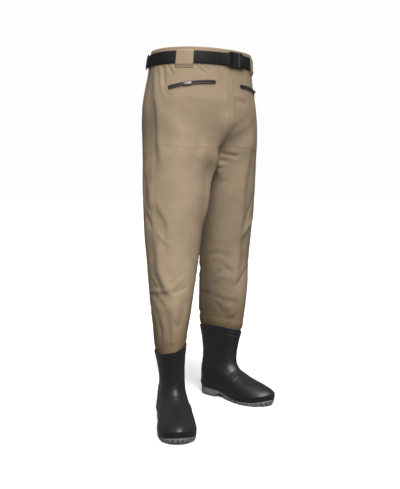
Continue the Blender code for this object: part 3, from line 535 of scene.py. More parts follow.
def bell(distance, width):
    """A soft hump, 1 at its middle."""
    return np.exp(-((distance / width) ** 2))


def link(thing):
    """Puts an object into the scene."""
    bpy.context.scene.collection.objects.link(thing)
    return thing


def new_piece(name, points, faces, material):
    """A smooth-shaded mesh piece of the garment itself."""
    mesh = bpy.data.meshes.new(name)
    mesh.from_pydata(points, [], faces)
    shape = bmesh.new()
    shape.from_mesh(mesh)
    bmesh.ops.recalc_face_normals(shape, faces=shape.faces)
    shape.to_mesh(mesh)
    shape.free()
    mesh.shade_smooth()
    mesh.materials.append(material)
    piece = link(bpy.data.objects.new(name, mesh))
    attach(piece, BODY)
    return piece


def ring_faces(rings, count, closed_ends):
    """Faces of a tube through rings of equal count."""
    faces = []
    for row in range(rings - 1):
        for k in range(count):
            a = row * count + k
            b = row * count + (k + 1) % count
            faces.append((a, b, b + count, a + count))
    if closed_ends:
        faces.append(tuple(range(count)))
        faces.append(tuple(range((rings - 1) * count, rings * count)))
    return faces


def tube_piece(name, rings, material, closed_ends=True):
    """A tube through rings of points."""
    points = [point for ring in rings for point in ring]
    return new_piece(name, points, ring_faces(len(rings), len(rings[0]), closed_ends), material)


def add_weave_map(piece, places):
    """A map in metres, with a place for each point, that the weave follows."""
    layer = piece.data.uv_layers.new(name="weave")
    for corner in piece.data.loops:
        layer.data[corner.index].uv = places[corner.vertex_index]


def add_wall(piece, thickness):
    """Turns an open skin into a wall that grows inwards."""
    wall = piece.modifiers.new("wall", "SOLIDIFY")
    wall.thickness = thickness
    wall.offset = -1
    wall.use_even_offset = True


def add_bevel(piece, width, segments=2):
    """Rounds the hard edges of a moulded piece."""
    bevel = piece.modifiers.new("rounding", "BEVEL")
    bevel.width = width
    bevel.segments = segments
    bevel.limit_method = "ANGLE"
    bevel.angle_limit = radians(35)
    bevel.harden_normals = True


# Materials

# A wave texture of scale 1 repeats about every 0.314 m
WAVE_PERIOD = 0.314


def srgb(code):
    """An sRGB hex colour as linear red, green, blue and alpha."""
    channels = [int(code[k : k + 2], 16) / 255 for k in (1, 3, 5)]
    linear = [c / 12.92 if c <= 0.04045 else ((c + 0.055) / 1.055) ** 2.4 for c in channels]
    return (*linear, 1.0)


def add_node(tree, kind, inputs=None, **settings):
    """Adds a node with its settings. An input is a value, or an output of another node to link from."""
    node = tree.nodes.new(kind)
    for name, value in settings.items():
        setattr(node, name, value)
    for socket, value in (inputs or {}).items():
        if isinstance(value, bpy.types.NodeSocket):
            tree.links.new(value, node.inputs[socket])
        else:
            node.inputs[socket].default_value = value
    return node


def start_material(name, **values):
    """A material with its Principled shader's plain values set."""
    material = bpy.data.materials.new(name)
    material.use_nodes = True
    shader = material.node_tree.nodes["Principled BSDF"]
    for socket, value in values.items():
        shader.inputs[socket.replace("_", " ")].default_value = value
    return material, material.node_tree, shader


def mottled(name, size, detail, tones=None, stops=(0.0, 1.0), gloss=None, grain=None, bump=None, **values):
    """A material whose colour, between two tones, and roughness, in a range, follow a noise of a size in mm.

    The bump is a strength and a height in mm. It follows the noise, or a finer grain of its own size in mm.
    """
    material, tree, shader = start_material(name, **values)
    spot = add_node(tree, "ShaderNodeTexCoord").outputs["Object"]
    patch = add_node(tree, "ShaderNodeTexNoise", {"Vector": spot, "Scale": 1 / (size * MM), "Detail": detail})
    if tones:
        colour = add_node(tree, "ShaderNodeValToRGB", {"Fac": patch.outputs["Fac"]})
        for element, stop, tone in zip(colour.color_ramp.elements, stops, tones):
            element.position = stop
            element.color = srgb(tone)
        tree.links.new(colour.outputs["Color"], shader.inputs["Base Color"])
    if gloss:
        span = {"Value": patch.outputs["Fac"], "To Min": gloss[0], "To Max": gloss[1]}
        rough = add_node(tree, "ShaderNodeMapRange", span)
        tree.links.new(rough.outputs["Result"], shader.inputs["Roughness"])
    if grain:
        fine = {"Vector": spot, "Scale": 1 / (grain * MM), "Detail": 2.0}
        patch = add_node(tree, "ShaderNodeTexNoise", fine)
    if bump:
        relief = {"Height": patch.outputs["Fac"], "Strength": bump[0], "Distance": bump[1] * MM}
        tree.links.new(add_node(tree, "ShaderNodeBump", relief).outputs["Normal"], shader.inputs["Normal"])
    return material


def laminated_nylon():
    """Plain-woven nylon on a breathable film: matt, with a faint cross-hatch of threads and soft blotches.

    The threads are 0.4 mm apart. They are drawn 2 mm apart, or the picture would not show them.
    The cloth is painted darker from the shins down: painted shade, for the light that falls off towards the
    floor.
    """
    material, tree, shader = start_material("laminated_nylon", Roughness=0.88, Specular_IOR_Level=0.3)
    spot = add_node(tree, "ShaderNodeTexCoord").outputs["Object"]
    blotch = add_node(tree, "ShaderNodeTexNoise", {"Vector": spot, "Scale": 1 / (70 * MM), "Detail": 3.0})
    fleck = add_node(tree, "ShaderNodeTexNoise", {"Vector": spot, "Scale": 1 / (3 * MM), "Detail": 2.0})
    tone = add_node(tree, "ShaderNodeMath", {0: blotch.outputs["Fac"], 1: 0.6}, operation="MULTIPLY")
    shares = {0: fleck.outputs["Fac"], 1: 0.4, 2: tone.outputs[0]}
    both = add_node(tree, "ShaderNodeMath", shares, operation="MULTIPLY_ADD")
    colour = add_node(tree, "ShaderNodeValToRGB", {"Fac": both.outputs[0]})
    for element, stop, code in zip(colour.color_ramp.elements, (0.30, 0.70), ("#776754", "#867660")):
        element.position = stop
        element.color = srgb(code)
    own_tone = colour.outputs["Color"]
    # Painted shade: below about 0.42 m the cloth's colour is multiplied darker, for the light that falls off
    # towards the floor
    painted_shade_inputs = {0: 1.0, 6: own_tone, 7: srgb("#d3c8b5")}
    painted_shade = add_node(tree, "ShaderNodeMix", painted_shade_inputs, data_type="RGBA", blend_type="MULTIPLY")
    height = add_node(tree, "ShaderNodeSeparateXYZ", {0: spot})
    span = {"Value": height.outputs["Z"], "From Min": 0.20, "From Max": 0.42}
    rise = add_node(tree, "ShaderNodeMapRange", span, interpolation_type="SMOOTHSTEP")
    layers = {0: rise.outputs["Result"], 6: painted_shade.outputs[2], 7: own_tone}
    shaded_colour = add_node(tree, "ShaderNodeMix", layers, data_type="RGBA")
    tree.links.new(shaded_colour.outputs[2], shader.inputs["Base Color"])
    weave = add_node(tree, "ShaderNodeUVMap", uv_map="weave").outputs[0]
    threads = {"Vector": weave, "Scale": WAVE_PERIOD / (2.0 * MM)}
    warp = add_node(tree, "ShaderNodeTexWave", threads, bands_direction="X")
    weft = add_node(tree, "ShaderNodeTexWave", threads, bands_direction="Y")
    crossing = {0: warp.outputs["Fac"], 1: weft.outputs["Fac"]}
    cross = add_node(tree, "ShaderNodeMath", crossing, operation="MULTIPLY")
    rough = {0: fleck.outputs["Fac"], 1: 0.8, 2: cross.outputs[0]}
    grain = add_node(tree, "ShaderNodeMath", rough, operation="MULTIPLY_ADD")
    relief = {"Height": grain.outputs[0], "Strength": 0.25, "Distance": 0.25 * MM}
    tree.links.new(add_node(tree, "ShaderNodeBump", relief).outputs["Normal"], shader.inputs["Normal"])
    return material


def polypropylene_webbing():
    """Woven polypropylene webbing: black and dull, with fine warp lines. Its ribs are in the mesh."""
    material, tree, shader = start_material("polypropylene_webbing", Roughness=0.65, Specular_IOR_Level=0.18)
    weave = add_node(tree, "ShaderNodeUVMap", uv_map="weave").outputs[0]
    threads = {"Vector": weave, "Scale": WAVE_PERIOD / (1.6 * MM)}
    warp = add_node(tree, "ShaderNodeTexWave", threads, bands_direction="Y")
    fleck = add_node(tree, "ShaderNodeTexNoise", {"Vector": weave, "Scale": 1 / (2 * MM), "Detail": 2.0})
    colour = add_node(tree, "ShaderNodeValToRGB", {"Fac": fleck.outputs["Fac"]})
    colour.color_ramp.elements[0].color = srgb("#0c0d0d")
    colour.color_ramp.elements[1].color = srgb("#151616")
    tree.links.new(colour.outputs["Color"], shader.inputs["Base Color"])
    relief = {"Height": warp.outputs["Fac"], "Strength": 0.3, "Distance": 0.2 * MM}
    tree.links.new(add_node(tree, "ShaderNodeBump", relief).outputs["Normal"], shader.inputs["Normal"])
    return material


def tricot_backing():
    """Knitted tricot that lines the laminate: pale grey-brown and dull, with a fine uneven nap."""
    tones = ("#6f665a", "#8b8273")
    return mottled("tricot_backing", 4, 3.0, tones, bump=(0.2, 0.3), Roughness=0.92, Sheen_Weight=0.2)


def moulded_pvc():
    """Injection-moulded PVC: black satin with the fine eroded grain of its mould and duller scuffs."""
    look = {"gloss": (0.38, 0.50), "grain": 1.2, "bump": (0.12, 0.15), "Specular_IOR_Level": 0.40}
    return mottled("moulded_pvc", 28, 4.0, ("#131315", "#1b1b1e"), **look)


def sole_compound():
    """Moulded rubber compound: mid grey and matt, with dusty patches and a coarse mould grain."""
    look = {"stops": (0.35, 0.68), "grain": 0.9, "bump": (0.3, 0.2), "Roughness": 0.78, "IOR": 1.52}
    return mottled("sole_compound", 14, 5.0, ("#5f5c5d", "#797576"), **look)


def felted_foam():
    """Felt-faced foam of the insole: dark grey, fuzzy and fully matt."""
    return mottled("felted_foam", 1.5, 6.0, ("#333335", "#4d4d50"), bump=(0.5, 0.5), Roughness=0.96)


def acetal():
    """Moulded acetal of the buckle and the slider: black, smooth satin with a slight mould bloom."""
    look = {"gloss": (0.30, 0.46), "bump": (0.05, 0.2), "Specular_IOR_Level": 0.35}
    return mottled("acetal", 5, 3.0, Base_Color=srgb("#151517"), **look)


def coated_zip_tape():
    """Polyurethane-coated zip tape: brown-black and rubbery, with a soft sheen and lighter rubbed patches."""
    look = {"bump": (0.1, 0.2), "Roughness": 0.58, "Specular_IOR_Level": 0.22}
    return mottled("coated_zip_tape", 9, 4.0, ("#1b1614", "#2e2623"), **look)


def die_cast_zinc():
    """Die-cast zinc of the zip pulls: light warm grey, tumbled to a satin."""
    return mottled("die_cast_zinc", 1.5, 3.0, ("#6a615b", "#857b75"), gloss=(0.46, 0.60), Metallic=0.85)


def black_enamel():
    """Black stoving enamel on the zip sliders: smooth, a little worn in patches."""
    return mottled("black_enamel", 2, 3.0, ("#1c1b1b", "#3a3735"), Roughness=0.38, IOR=1.5)


def polyester_thread():
    """Twisted polyester sewing thread, a shade lighter than the cloth, with a slight lustre."""
    return mottled("polyester_thread", 2, 2.0, ("#85745c", "#9a8970"), Roughness=0.55, Sheen_Weight=0.2)


def studio_board():
    """Painted studio board of the floor: plain, pale and matt."""
    board = {"Base_Color": srgb("#fcfcfc"), "Roughness": 0.95, "Specular_IOR_Level": 0.1}
    return start_material("studio_board", **board)[0]


# Feet: along from heel to toe, inward to the other foot, up


def foot_axes(turn, side):
    """Forward and inward directions of a foot or leg turned out by an angle."""
    forward = Vector((side * sin(turn), -cos(turn)))
    inward = Vector((-side * cos(turn), -sin(turn)))
    return forward, inward


def foot_point(side, along, inward, height):
    """A point of the foot's frame in the row frame."""
    stance = STANCES[side]
    forward, inner = foot_axes(stance.toe_out, side)
    spot = Vector((stance.heel_x, stance.heel_y)) + along * forward + inward * inner
    return Vector((spot.x, spot.y, height))


def closed_curve(points, place):
    """A point of a closed smooth curve. One whole number is one control point."""
    index = int(place)
    corners = (points[(index + step) % len(points)] for step in (-1, 0, 1, 2))
    return curve_point(*corners, place - index)


def swing(along):
    """How far the foot's middle line swings inwards towards the toe."""
    return INWARD_SWING * sin(pi * along / BOOT_LENGTH)


def boot_outline(height, count):
    """A level ring of the boot as (along, inward): inner side, front, outer side, back."""
    row = smooth_row(BOOT, height)
    length = row.front - row.back
    halves = (row.toe, row.ball, row.waist, row.heel)
    alongs = [row.back + place * length for place in PLACES]
    outer = [Vector((x, swing(x) + row.shift - half)) for x, half in zip(alongs, halves)]
    inner = [Vector((x, swing(x) + row.shift + half)) for x, half in zip(alongs, halves)]
    tip = Vector((row.front, swing(row.front) + row.shift))
    heel = Vector((row.back, swing(row.back) + row.shift))
    controls = [tip, *outer, heel, *reversed(inner)]
    start = 0.75 * len(controls)
    return [closed_curve(controls, start + len(controls) * k / count) for k in range(count)]


def grown(outline, distance):
    """The outline moved out by a distance, or by a distance of its own for each point."""
    count = len(outline)
    distances = distance if isinstance(distance, list) else [distance] * count
    moved = []
    for k, point in enumerate(outline):
        run = outline[(k + 1) % count] - outline[k - 1]
        moved.append(point + distances[k] * Vector((-run.y, run.x)).normalized())
    return moved


def rim_lift(along, inward):
    """The rim drops towards the toe and rises on the inner side."""
    return RIM_INNER_SLOPE * inward - RIM_FRONT_SLOPE * (along - COLLAR_MIDDLE)


def boot_height(height, along, inward):
    """Height of a ring's point: it follows the sole's top line below and the slanted rim above."""
    sole_drop = smooth_row(SOLE, along).top - HEEL_SEAT
    lower = 1 - ease((height - HEEL_SEAT) / (FLAT_RING_HEIGHT - HEEL_SEAT))
    upper = ease((height - RIM_TILT_START) / (RIM_HEIGHT - RIM_TILT_START))
    return height + GAP + sole_drop * lower + rim_lift(along, inward) * upper


# Boots

# The rand laps over the sole, less at the heel. Its lip is two rings, as (rise, inset)
RAND_DROP = 0.0036
RAND_HEEL_SHARE = 0.2
RAND_DROP_START = 0.10
RAND_DROP_RUN = 0.06
RAND_LIP = [(0.0, 0.0006), (0.0008, 0.0)]
# What is moulded on the boot: where it lies and how far it stands out
RAND_TOP = 0.0440
RAND_RISE = 0.0009
BEAD_RISE = 0.0009
BEAD_DROP = 0.0050
BEAD_WIDTH = 0.0016
INSTEP_BAND = (0.164, 0.189)
INSTEP_LEAN = 0.30
INSTEP_HEIGHT = 0.095
INSTEP_LOW = 0.060
INSTEP_HIGH = 0.150
INSTEP_FADE = 0.02
INSTEP_RISE = 0.0016
COUNTER_RISE = 0.0014
COUNTER_EDGE = [(0.0, 0.106), (0.090, 0.108), (0.130, 0.088), (0.159, 0.060), (0.176, 0.040)]
MOULD_EDGE = 0.0018
COLLAR_EDGE = 0.0012
COLLAR_ROUND = 0.0008
# Heights that the rings lie between, and how many rings from each to the next
RING_BANDS = [
    (BOOT[1].height, 7),
    (0.0470, 63),
    (0.1220, 21),
    (COLLAR - 0.0090, 15),
    (COLLAR + 0.0024, 6),
    (RIM_HEIGHT - 0.0012, 1),
]


def counter_top(along):
    """Height of the heel counter's upper edge at a place along the foot."""
    for (x0, z0), (x1, z1) in zip(COUNTER_EDGE, COUNTER_EDGE[1:]):
        if along <= x1:
            return z0 + (z1 - z0) * max(along - x0, 0) / (x1 - x0)
    return 0.0


def moulding(along, height):
    """How far the skin stands out at a place for rand, heel counter, instep band, collar band and bead."""
    rise = RAND_RISE * ease((RAND_TOP - height) / MOULD_EDGE)
    rise += COUNTER_RISE * ease((counter_top(along) - height) / MOULD_EDGE)
    start, end = (edge + INSTEP_LEAN * (height - INSTEP_HEIGHT) for edge in INSTEP_BAND)
    band = ease((along - start) / MOULD_EDGE) * ease((end - along) / MOULD_EDGE)
    band *= ease((height - INSTEP_LOW) / INSTEP_FADE) * ease((INSTEP_HIGH - height) / INSTEP_FADE)
    rise += INSTEP_RISE * band
    rise += BAND_STEP * ease((height - COLLAR) / COLLAR_EDGE)
    rise += BEAD_RISE * float(bell(height - COLLAR + BEAD_DROP, BEAD_WIDTH))
    return rise


def boot_ring(side, height, growth, count):
    """A ring of the boot in the row frame, grown by one distance or by a list of them."""
    ring = []
    for along, inward in grown(boot_outline(height, count), growth):
        ring.append(foot_point(side, along, inward, boot_height(height, along, inward)))
    return ring


def make_boot(side, material):
    heights = []
    for (low, count), (high, _) in zip(RING_BANDS, RING_BANDS[1:]):
        heights += np.linspace(low, high, count + 1)[:-1].tolist()
    heights.append(RING_BANDS[-1][0])
    rings = []
    foot = boot_outline(BOOT[1].height, BOOT_COLUMNS)
    for rise, inset in RAND_LIP:
        lip = []
        for along, inward in grown(foot, -inset):
            forward = ease((along - RAND_DROP_START) / RAND_DROP_RUN)
            drop = RAND_DROP * (RAND_HEEL_SHARE + (1 - RAND_HEEL_SHARE) * forward)
            lip.append(foot_point(side, along, inward, smooth_row(SOLE, along).top - drop + rise))
        rings.append(lip)
    for height in heights:
        growth = [moulding(point.x, height) for point in boot_outline(height, BOOT_COLUMNS)]
        rings.append(boot_ring(side, height, growth, BOOT_COLUMNS))
    rings.append(boot_ring(side, RIM_HEIGHT, BAND_STEP - COLLAR_ROUND, BOOT_COLUMNS))
    name = f"boot_{SIDE_NAMES[side]}"
    boot = tube_piece(f"moulded_{name}", rings, material, closed_ends=False)
    add_wall(boot, BOOT_WALL)
    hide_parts(name)


# Outsoles


def tread(along):
    """Height of the sole's ground line, never under the floor."""
    return max(smooth_row(SOLE, along).ground, 0.0)


def half_widths(outline, along):
    """Outer and inner edge of an outline at a place along the foot."""
    crossings = []
    for a, b in zip(outline, outline[1:] + outline[:1]):
        if (a.x - along) * (b.x - along) <= 0 and a.x != b.x:
            crossings.append(a.y + (b.y - a.y) * (along - a.x) / (b.x - a.x))
    return min(crossings), max(crossings)


def sole_slab(outline, side):
    """Rings of the slab in plan: its grooved side, its lower edge and its underside up to the middle line."""
    rings = []
    for inset, drop in SLAB_SIDE:
        ring = []
        for along, inward in grown(outline, -inset):
            ring.append((along, inward, smooth_row(SOLE, along).top - drop))
        rings.append(ring)
    notches = edge_notches(outline)
    for inset, lift, share in SLAB_UNDER:
        ring = []
        for (along, inward), notch in zip(grown(outline, -inset), notches):
            root = tread(along) + LUG_DEPTH + (0.0 if share else notch)
            ring.append((along, inward + (swing(along) - inward) * share, root + lift))
        rings.append(ring)
    return [[foot_point(side, *spot) for spot in ring] for ring in rings]


def toe_lugs(outline):
    """The lugs round the toe: for each, the numbers of the outline's points that it takes up."""
    toe = [k for k, point in enumerate(outline) if point.x > TOE_LUGS_START]
    places = [0.0]
    for k in toe[1:]:
        places.append(places[-1] + (outline[k] - outline[k - 1]).length)
    count = round((places[-1] + TOE_LUG_GROOVE) / TOE_LUG_PITCH)
    pitch = (places[-1] + TOE_LUG_GROOVE) / count
    lugs = [[] for _ in range(count)]
    for k, place in zip(toe, places):
        if place % pitch <= pitch - TOE_LUG_GROOVE:
            lugs[int(place / pitch)].append(k)
    return lugs


def edge_notches(outline):
    """How far the lower edge rises at each point of the outline: a notch between two lugs."""
    rows = lug_rows()
    grooves = [(end, start) for (_, end), (start, _) in zip(rows, rows[1:]) if start - end < LUG_PITCH / 2]
    lugs = {k for lug in toe_lugs(outline) for k in lug}
    notches = []
    for k, point in enumerate(outline):
        between = any(end < point.x < start for end, start in grooves)
        if point.x > rows[-1][1]:
            between = k not in lugs
        notches.append(LUG_NOTCH if between else 0.0)
    return notches


def toe_lug_block(outline, side, lug):
    """One lug at the toe as rings of four corners, from the sole's edge inwards."""
    edge = grown(outline, -SOLE_STEP)
    low = grown(outline, -SOLE_STEP - LUG_SLOPE)
    inner = grown(outline, -TOE_LUG_DEPTH)
    rings = []
    for k in lug:
        corners = [(edge[k], 1), (low[k], 0), (inner[k], 0), (inner[k], 1)]
        ring = []
        for spot, top in corners:
            height = tread(spot.x) + top * (LUG_DEPTH + LUG_ROOT)
            ring.append(foot_point(side, spot.x, spot.y, height))
        rings.append(ring)
    return rings


def lug_rows():
    """Start and end along the foot of each row of lugs."""
    rows = []
    for start, end in (HEEL_LUGS, FORE_LUGS):
        while start < end - LUG_GROOVE:
            rows.append((start, min(start + LUG_PITCH - LUG_GROOVE, end)))
            start += LUG_PITCH
    return rows


def lug_block(outline, side, start, end, half):
    """One lug as rings of four corners: from the sole's edge to the groove along its middle."""
    rings = []
    gap = LUG_MIDDLE if start > HEEL_LUGS[0] else 0.0
    for along in np.linspace(start, end, LUG_RINGS).tolist():
        edges = half_widths(outline, along)
        edge = edges[0] + SOLE_STEP if half < 0 else edges[1] - SOLE_STEP
        middle = swing(along) + half * gap / 2
        if (edge - middle) * half < LUG_MIDDLE:
            return []
        ground = tread(along)
        root = ground + LUG_DEPTH + LUG_ROOT
        lean = half * LUG_SLOPE
        section = [(edge, root), (edge - lean, ground), (middle + lean, ground), (middle, root)]
        rings.append([foot_point(side, along, across, height) for across, height in section])
    return rings


def make_outsole(side, material):
    outline = grown(boot_outline(BOOT[1].height, SOLE_COLUMNS), -SOLE_INSET)
    slab = sole_slab(outline, side)
    points = [point for ring in slab for point in ring]
    faces = ring_faces(len(slab), SOLE_COLUMNS, False)
    lugs = [lug_block(outline, side, start, end, half) for start, end in lug_rows() for half in (-1, 1)]
    lugs += [toe_lug_block(outline, side, lug) for lug in toe_lugs(outline)]
    for rings in lugs:
        base = len(points)
        points += [point for ring in rings for point in ring]
        if rings:
            faces += [tuple(base + k for k in face) for face in ring_faces(len(rings), 4, True)]
    name = f"outsole_{SIDE_NAMES[side]}"
    sole = new_piece(f"lugged_{name}", points, faces, material)
    sole.data.set_sharp_from_angle(angle=SHARP)
    add_bevel(sole, SOLE_ROUND)
    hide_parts(name)


# Trousers


def seat_point(side, angle, height, offset=0.0):
    """A point of the seat. The angle runs from the centre front, 0, by the hip to the centre back, pi."""
    row = smooth_row(SEAT, height)
    out = powered(sin(angle), SEAT_POWER) * row.half_width
    forward = powered(cos(angle), SEAT_POWER) * row.half_depth
    normal = Vector((sin(angle) * row.half_depth, cos(angle) * row.half_width)).normalized()
    out += offset * normal.x
    forward += offset * normal.y
    return Vector((WAIST_CENTRE.x + side * out, WAIST_CENTRE.y + row.set_back - forward, height))


def waist_edge(point):
    """Height of the waist's top edge over a point: it drops to the front and to the wearer's left."""
    aside = (point.x - WAIST_CENTRE.x) * WAIST_SIDE_DROP
    ahead = (point.y - WAIST_CENTRE.y) * WAIST_FRONT_DROP
    return WAIST_HEIGHT - aside + ahead


def leg_centre(side, share):
    """Middle of a leg's section: a line from the boot's collar to the hip that bows out and forward."""
    collar = foot_point(side, COLLAR_MIDDLE, swing(COLLAR_MIDDLE), 0.0).to_2d()
    hip = WAIST_CENTRE + Vector((side * HIP_OUT, HIP_BACK))
    bow = sin(pi * min(max(share, 0), 1))
    return collar.lerp(hip, share) + bow * Vector((side * BOW_OUT[side], -BOW_FORWARD))


def leg_point(side, share, turn):
    """A point of a leg. The turn, 0 to 1, runs from the inner side by the front to the outer side."""
    row = smooth_row(LEG, share)
    angle = 2 * pi * turn
    forward, inward = foot_axes(STANCES[side].toe_out * (1 - share), side)
    inner = row.half_width * cos(angle)
    ahead = row.half_depth * sin(angle)
    spot = leg_centre(side, share) + inner * inward + ahead * forward
    height = RIM_HEIGHT + share * (CROTCH_HEIGHT - RIM_HEIGHT)
    height += GROIN_RISE * (1 - cos(angle)) / 2 * ease((share - GROIN_RISE_START) / GROIN_RISE_RUN)
    height += rim_lift(COLLAR_MIDDLE + ahead, inner) * (1 - ease(share / RIM_FADE))
    return Vector((spot.x, spot.y, height))


def groin_pull(side, turn):
    """How far the leg's upper end is drawn to the middle plane, so that both legs meet at the crotch seam."""
    inside = min(turn, 1 - turn)
    natural = leg_point(side, 1.0, min(inside, CROTCH_SHARE)).x - WAIST_CENTRE.x
    return -natural * (1 - ease((inside - CROTCH_SHARE) / GROIN_PULL_RUN))


def upper_leg_point(side, share, turn):
    """A point of a leg with its inner thigh drawn to the crotch seam."""
    point = leg_point(side, share, turn)
    draw = max(share - GROIN_START, 0) / (1 - GROIN_START)
    point.x += groin_pull(side, turn) * draw
    return point


def trouser_seat_point(side, turn, rise):
    """A point between the groin line, rise 0, and the waist, rise 1. YOKE_RISE is under the belt."""
    low = upper_leg_point(side, 1.0, turn)
    angle = pi * (turn - CROTCH_SHARE) / (1 - 2 * CROTCH_SHARE)
    top = waist_edge(seat_point(side, angle, WAIST_HEIGHT))
    yoke = top - YOKE_DROP
    if rise < YOKE_RISE:
        height = low.z + (yoke - low.z) * rise / YOKE_RISE
    else:
        height = yoke + YOKE_DROP * (rise - YOKE_RISE) / (1 - YOKE_RISE)
    full = seat_point(side, angle, height)
    spot = low.lerp(full, ease(max((height - low.z) / SEAT_BLEND, rise / YOKE_RISE)))
    return Vector((spot.x, spot.y, height))


class Trousers:
    """The skin of the trousers: its points, its faces, and each leg's columns of point numbers."""

    RISES = [k / SEAT_ROWS for k in range(1, SEAT_ROWS + 1)]

    def __init__(self):
        self.points = []
        self.faces = []
        self.columns = {RIGHT: [], LEFT: []}
        seam = range(-CROTCH_COLUMNS, CROTCH_COLUMNS + 1)
        crotch = {k: self.add(upper_leg_point(RIGHT, 1.0, k / COLUMNS % 1)) for k in seam}
        for side in SIDES:
            self.add_leg(side, crotch)
        front = self.add_seat_edge(CROTCH_SHARE)
        back = self.add_seat_edge(1 - CROTCH_SHARE)
        for side in SIDES:
            self.add_seat(side, front, back)
        self.points = np.array([tuple(point) for point in self.points])
        self.soften_groin()
        self.tighten_front()

    def soften_groin(self):
        """Rounds off the turn from leg to seat, column by column, and less beside the centre seams."""
        groin = len(self.columns[RIGHT][0]) - 1
        window = slice(groin - GROIN_SPAN, groin + GROIN_SPAN + 1)
        share = eased(1 - np.abs(np.linspace(-1, 1, 2 * GROIN_SPAN + 1)))[1:-1, None]
        for side in SIDES:
            for k in range(CROTCH_COLUMNS + 1, COLUMNS - CROTCH_COLUMNS):
                inside = min(k - CROTCH_COLUMNS, COLUMNS - CROTCH_COLUMNS - k)
                column = self.columns[side][k][window]
                line = self.points[column]
                for _ in range(GROIN_ROUNDS):
                    pull = (line[:-2] + line[2:]) / 2 - line[1:-1]
                    line[1:-1] += pull * share * ease(inside / GROIN_SIDE)
                self.points[column] = line

    def tighten_front(self):
        """Draws the cloth taut over the right hip and thigh, where belly and leg leave a hollow in front."""
        groin = len(self.columns[RIGHT][0]) - 1
        rows = slice(groin - FRONT_BELOW, groin + FRONT_ABOVE)
        height = FRONT_BELOW + FRONT_ABOVE - 1
        width = FRONT_LAST - CROTCH_COLUMNS
        up = np.arange(1, height)
        across = np.arange(1, width)
        share = eased(up / FRONT_FADE) * eased((height - up) / FRONT_FADE)
        share = eased(across / FLY_FADE)[:, None] * eased((width - across) / FRONT_FADE)[:, None] * share
        patch = np.array([self.columns[RIGHT][k][rows] for k in range(CROTCH_COLUMNS, FRONT_LAST + 1)])
        grid = self.points[patch]
        for _ in range(FRONT_ROUNDS):
            around = grid[:-2, 1:-1] + grid[2:, 1:-1] + grid[1:-1, :-2] + grid[1:-1, 2:]
            grid[1:-1, 1:-1] += (around / 4 - grid[1:-1, 1:-1]) * share[:, :, None]
        self.points[patch] = grid

    def add(self, point):
        self.points.append(point)
        return len(self.points) - 1

    def join(self, rows, closed):
        for low, high in zip(rows, rows[1:]):
            for k in range(len(low) if closed else len(low) - 1):
                n = (k + 1) % len(low)
                self.faces.append((low[k], low[n], high[n], high[k]))

    def add_leg(self, side, crotch):
        """Rows from the tucked end in the boot to the groin line."""
        tuck = boot_ring(side, RIM_HEIGHT - TUCK, -BOOT_WALL - SOFT_GAP, COLUMNS)
        mouth = boot_ring(side, RIM_HEIGHT - GAP, -BOOT_WALL - SOFT_GAP, COLUMNS)
        rows = [[self.add(point) for point in tuck]]
        turns = [column / COLUMNS for column in range(COLUMNS)]
        legs = [leg_point(side, TUCK_SHARE, turn) for turn in turns]
        for k in range(TUCK_ROWS):
            share = TUCK_SHARE * k / TUCK_ROWS
            swell = sin(pi / 2 * k / TUCK_ROWS)
            row = []
            for low, high in zip(mouth, legs):
                point = low.lerp(high, swell)
                point.z = low.z + (high.z - low.z) * share / TUCK_SHARE
                row.append(self.add(point))
            rows.append(row)
        for share in map(float, np.linspace(TUCK_SHARE, 1, LEG_ROWS)[:-1]):
            rows.append([self.add(upper_leg_point(side, share, turn)) for turn in turns])
        top = []
        for k in range(COLUMNS):
            inner = k if k <= CROTCH_COLUMNS else k - COLUMNS
            groin = upper_leg_point(side, 1.0, k / COLUMNS)
            top.append(crotch[inner] if inner in crotch else self.add(groin))
        rows.append(top)
        self.join(rows, closed=True)
        self.columns[side] = [[row[k] for row in rows] for k in range(COLUMNS)]

    def add_seat_edge(self, turn):
        """The points up the centre front or the centre back."""
        return [self.add(trouser_seat_point(LEFT, turn, rise)) for rise in self.RISES]

    def add_seat(self, side, front, back):
        """Columns from the groin line to the waist, between the centre front and the centre back."""
        last = COLUMNS - CROTCH_COLUMNS
        inner = range(CROTCH_COLUMNS + 1, last)
        columns = [front]
        for k in inner:
            columns.append([self.add(trouser_seat_point(side, k / COLUMNS, rise)) for rise in self.RISES])
        columns.append(back)
        lows = [self.columns[side][k][-1] for k in range(CROTCH_COLUMNS, last + 1)]
        for k, column in zip(range(CROTCH_COLUMNS, last + 1), columns):
            self.columns[side][k] = self.columns[side][k] + column
        rows = [lows] + [[column[row] for column in columns] for row in range(SEAT_ROWS)]
        self.join(rows, closed=False)

    def locate(self, side, turn, height):
        """The point of the skin at a turn in degrees and a height in metres."""
        place = (turn / 360 % 1) * COLUMNS
        low = int(place)
        ends = []
        for k in (low, (low + 1) % COLUMNS):
            column = self.points[self.columns[side][k]]
            row = int(np.clip(np.searchsorted(column[:, 2], height), 1, len(column) - 1))
            below, above = column[row - 1], column[row]
            share = np.clip((height - below[2]) / max(above[2] - below[2], 1e-9), 0, 1)
            ends.append(below + (above - below) * share)
        return ends[0] + (ends[1] - ends[0]) * (place - low)

    def normals(self):
        """Outward directions of the points."""
        mesh = bpy.data.meshes.new("normals")
        mesh.from_pydata(self.points.tolist(), [], self.faces)
        shape = bmesh.new()
        shape.from_mesh(mesh)
        bmesh.ops.recalc_face_normals(shape, faces=shape.faces)
        shape.normal_update()
        found = np.array([tuple(vert.normal) for vert in shape.verts])
        shape.free()
        bpy.data.meshes.remove(mesh)
        return found

    def facing(self, path, normals):
        """Outward directions of the skin at the points of a path."""
        gaps = [np.linalg.norm(self.points - spot, axis=1) for spot in path]
        return normals[[int(gap.argmin()) for gap in gaps]]

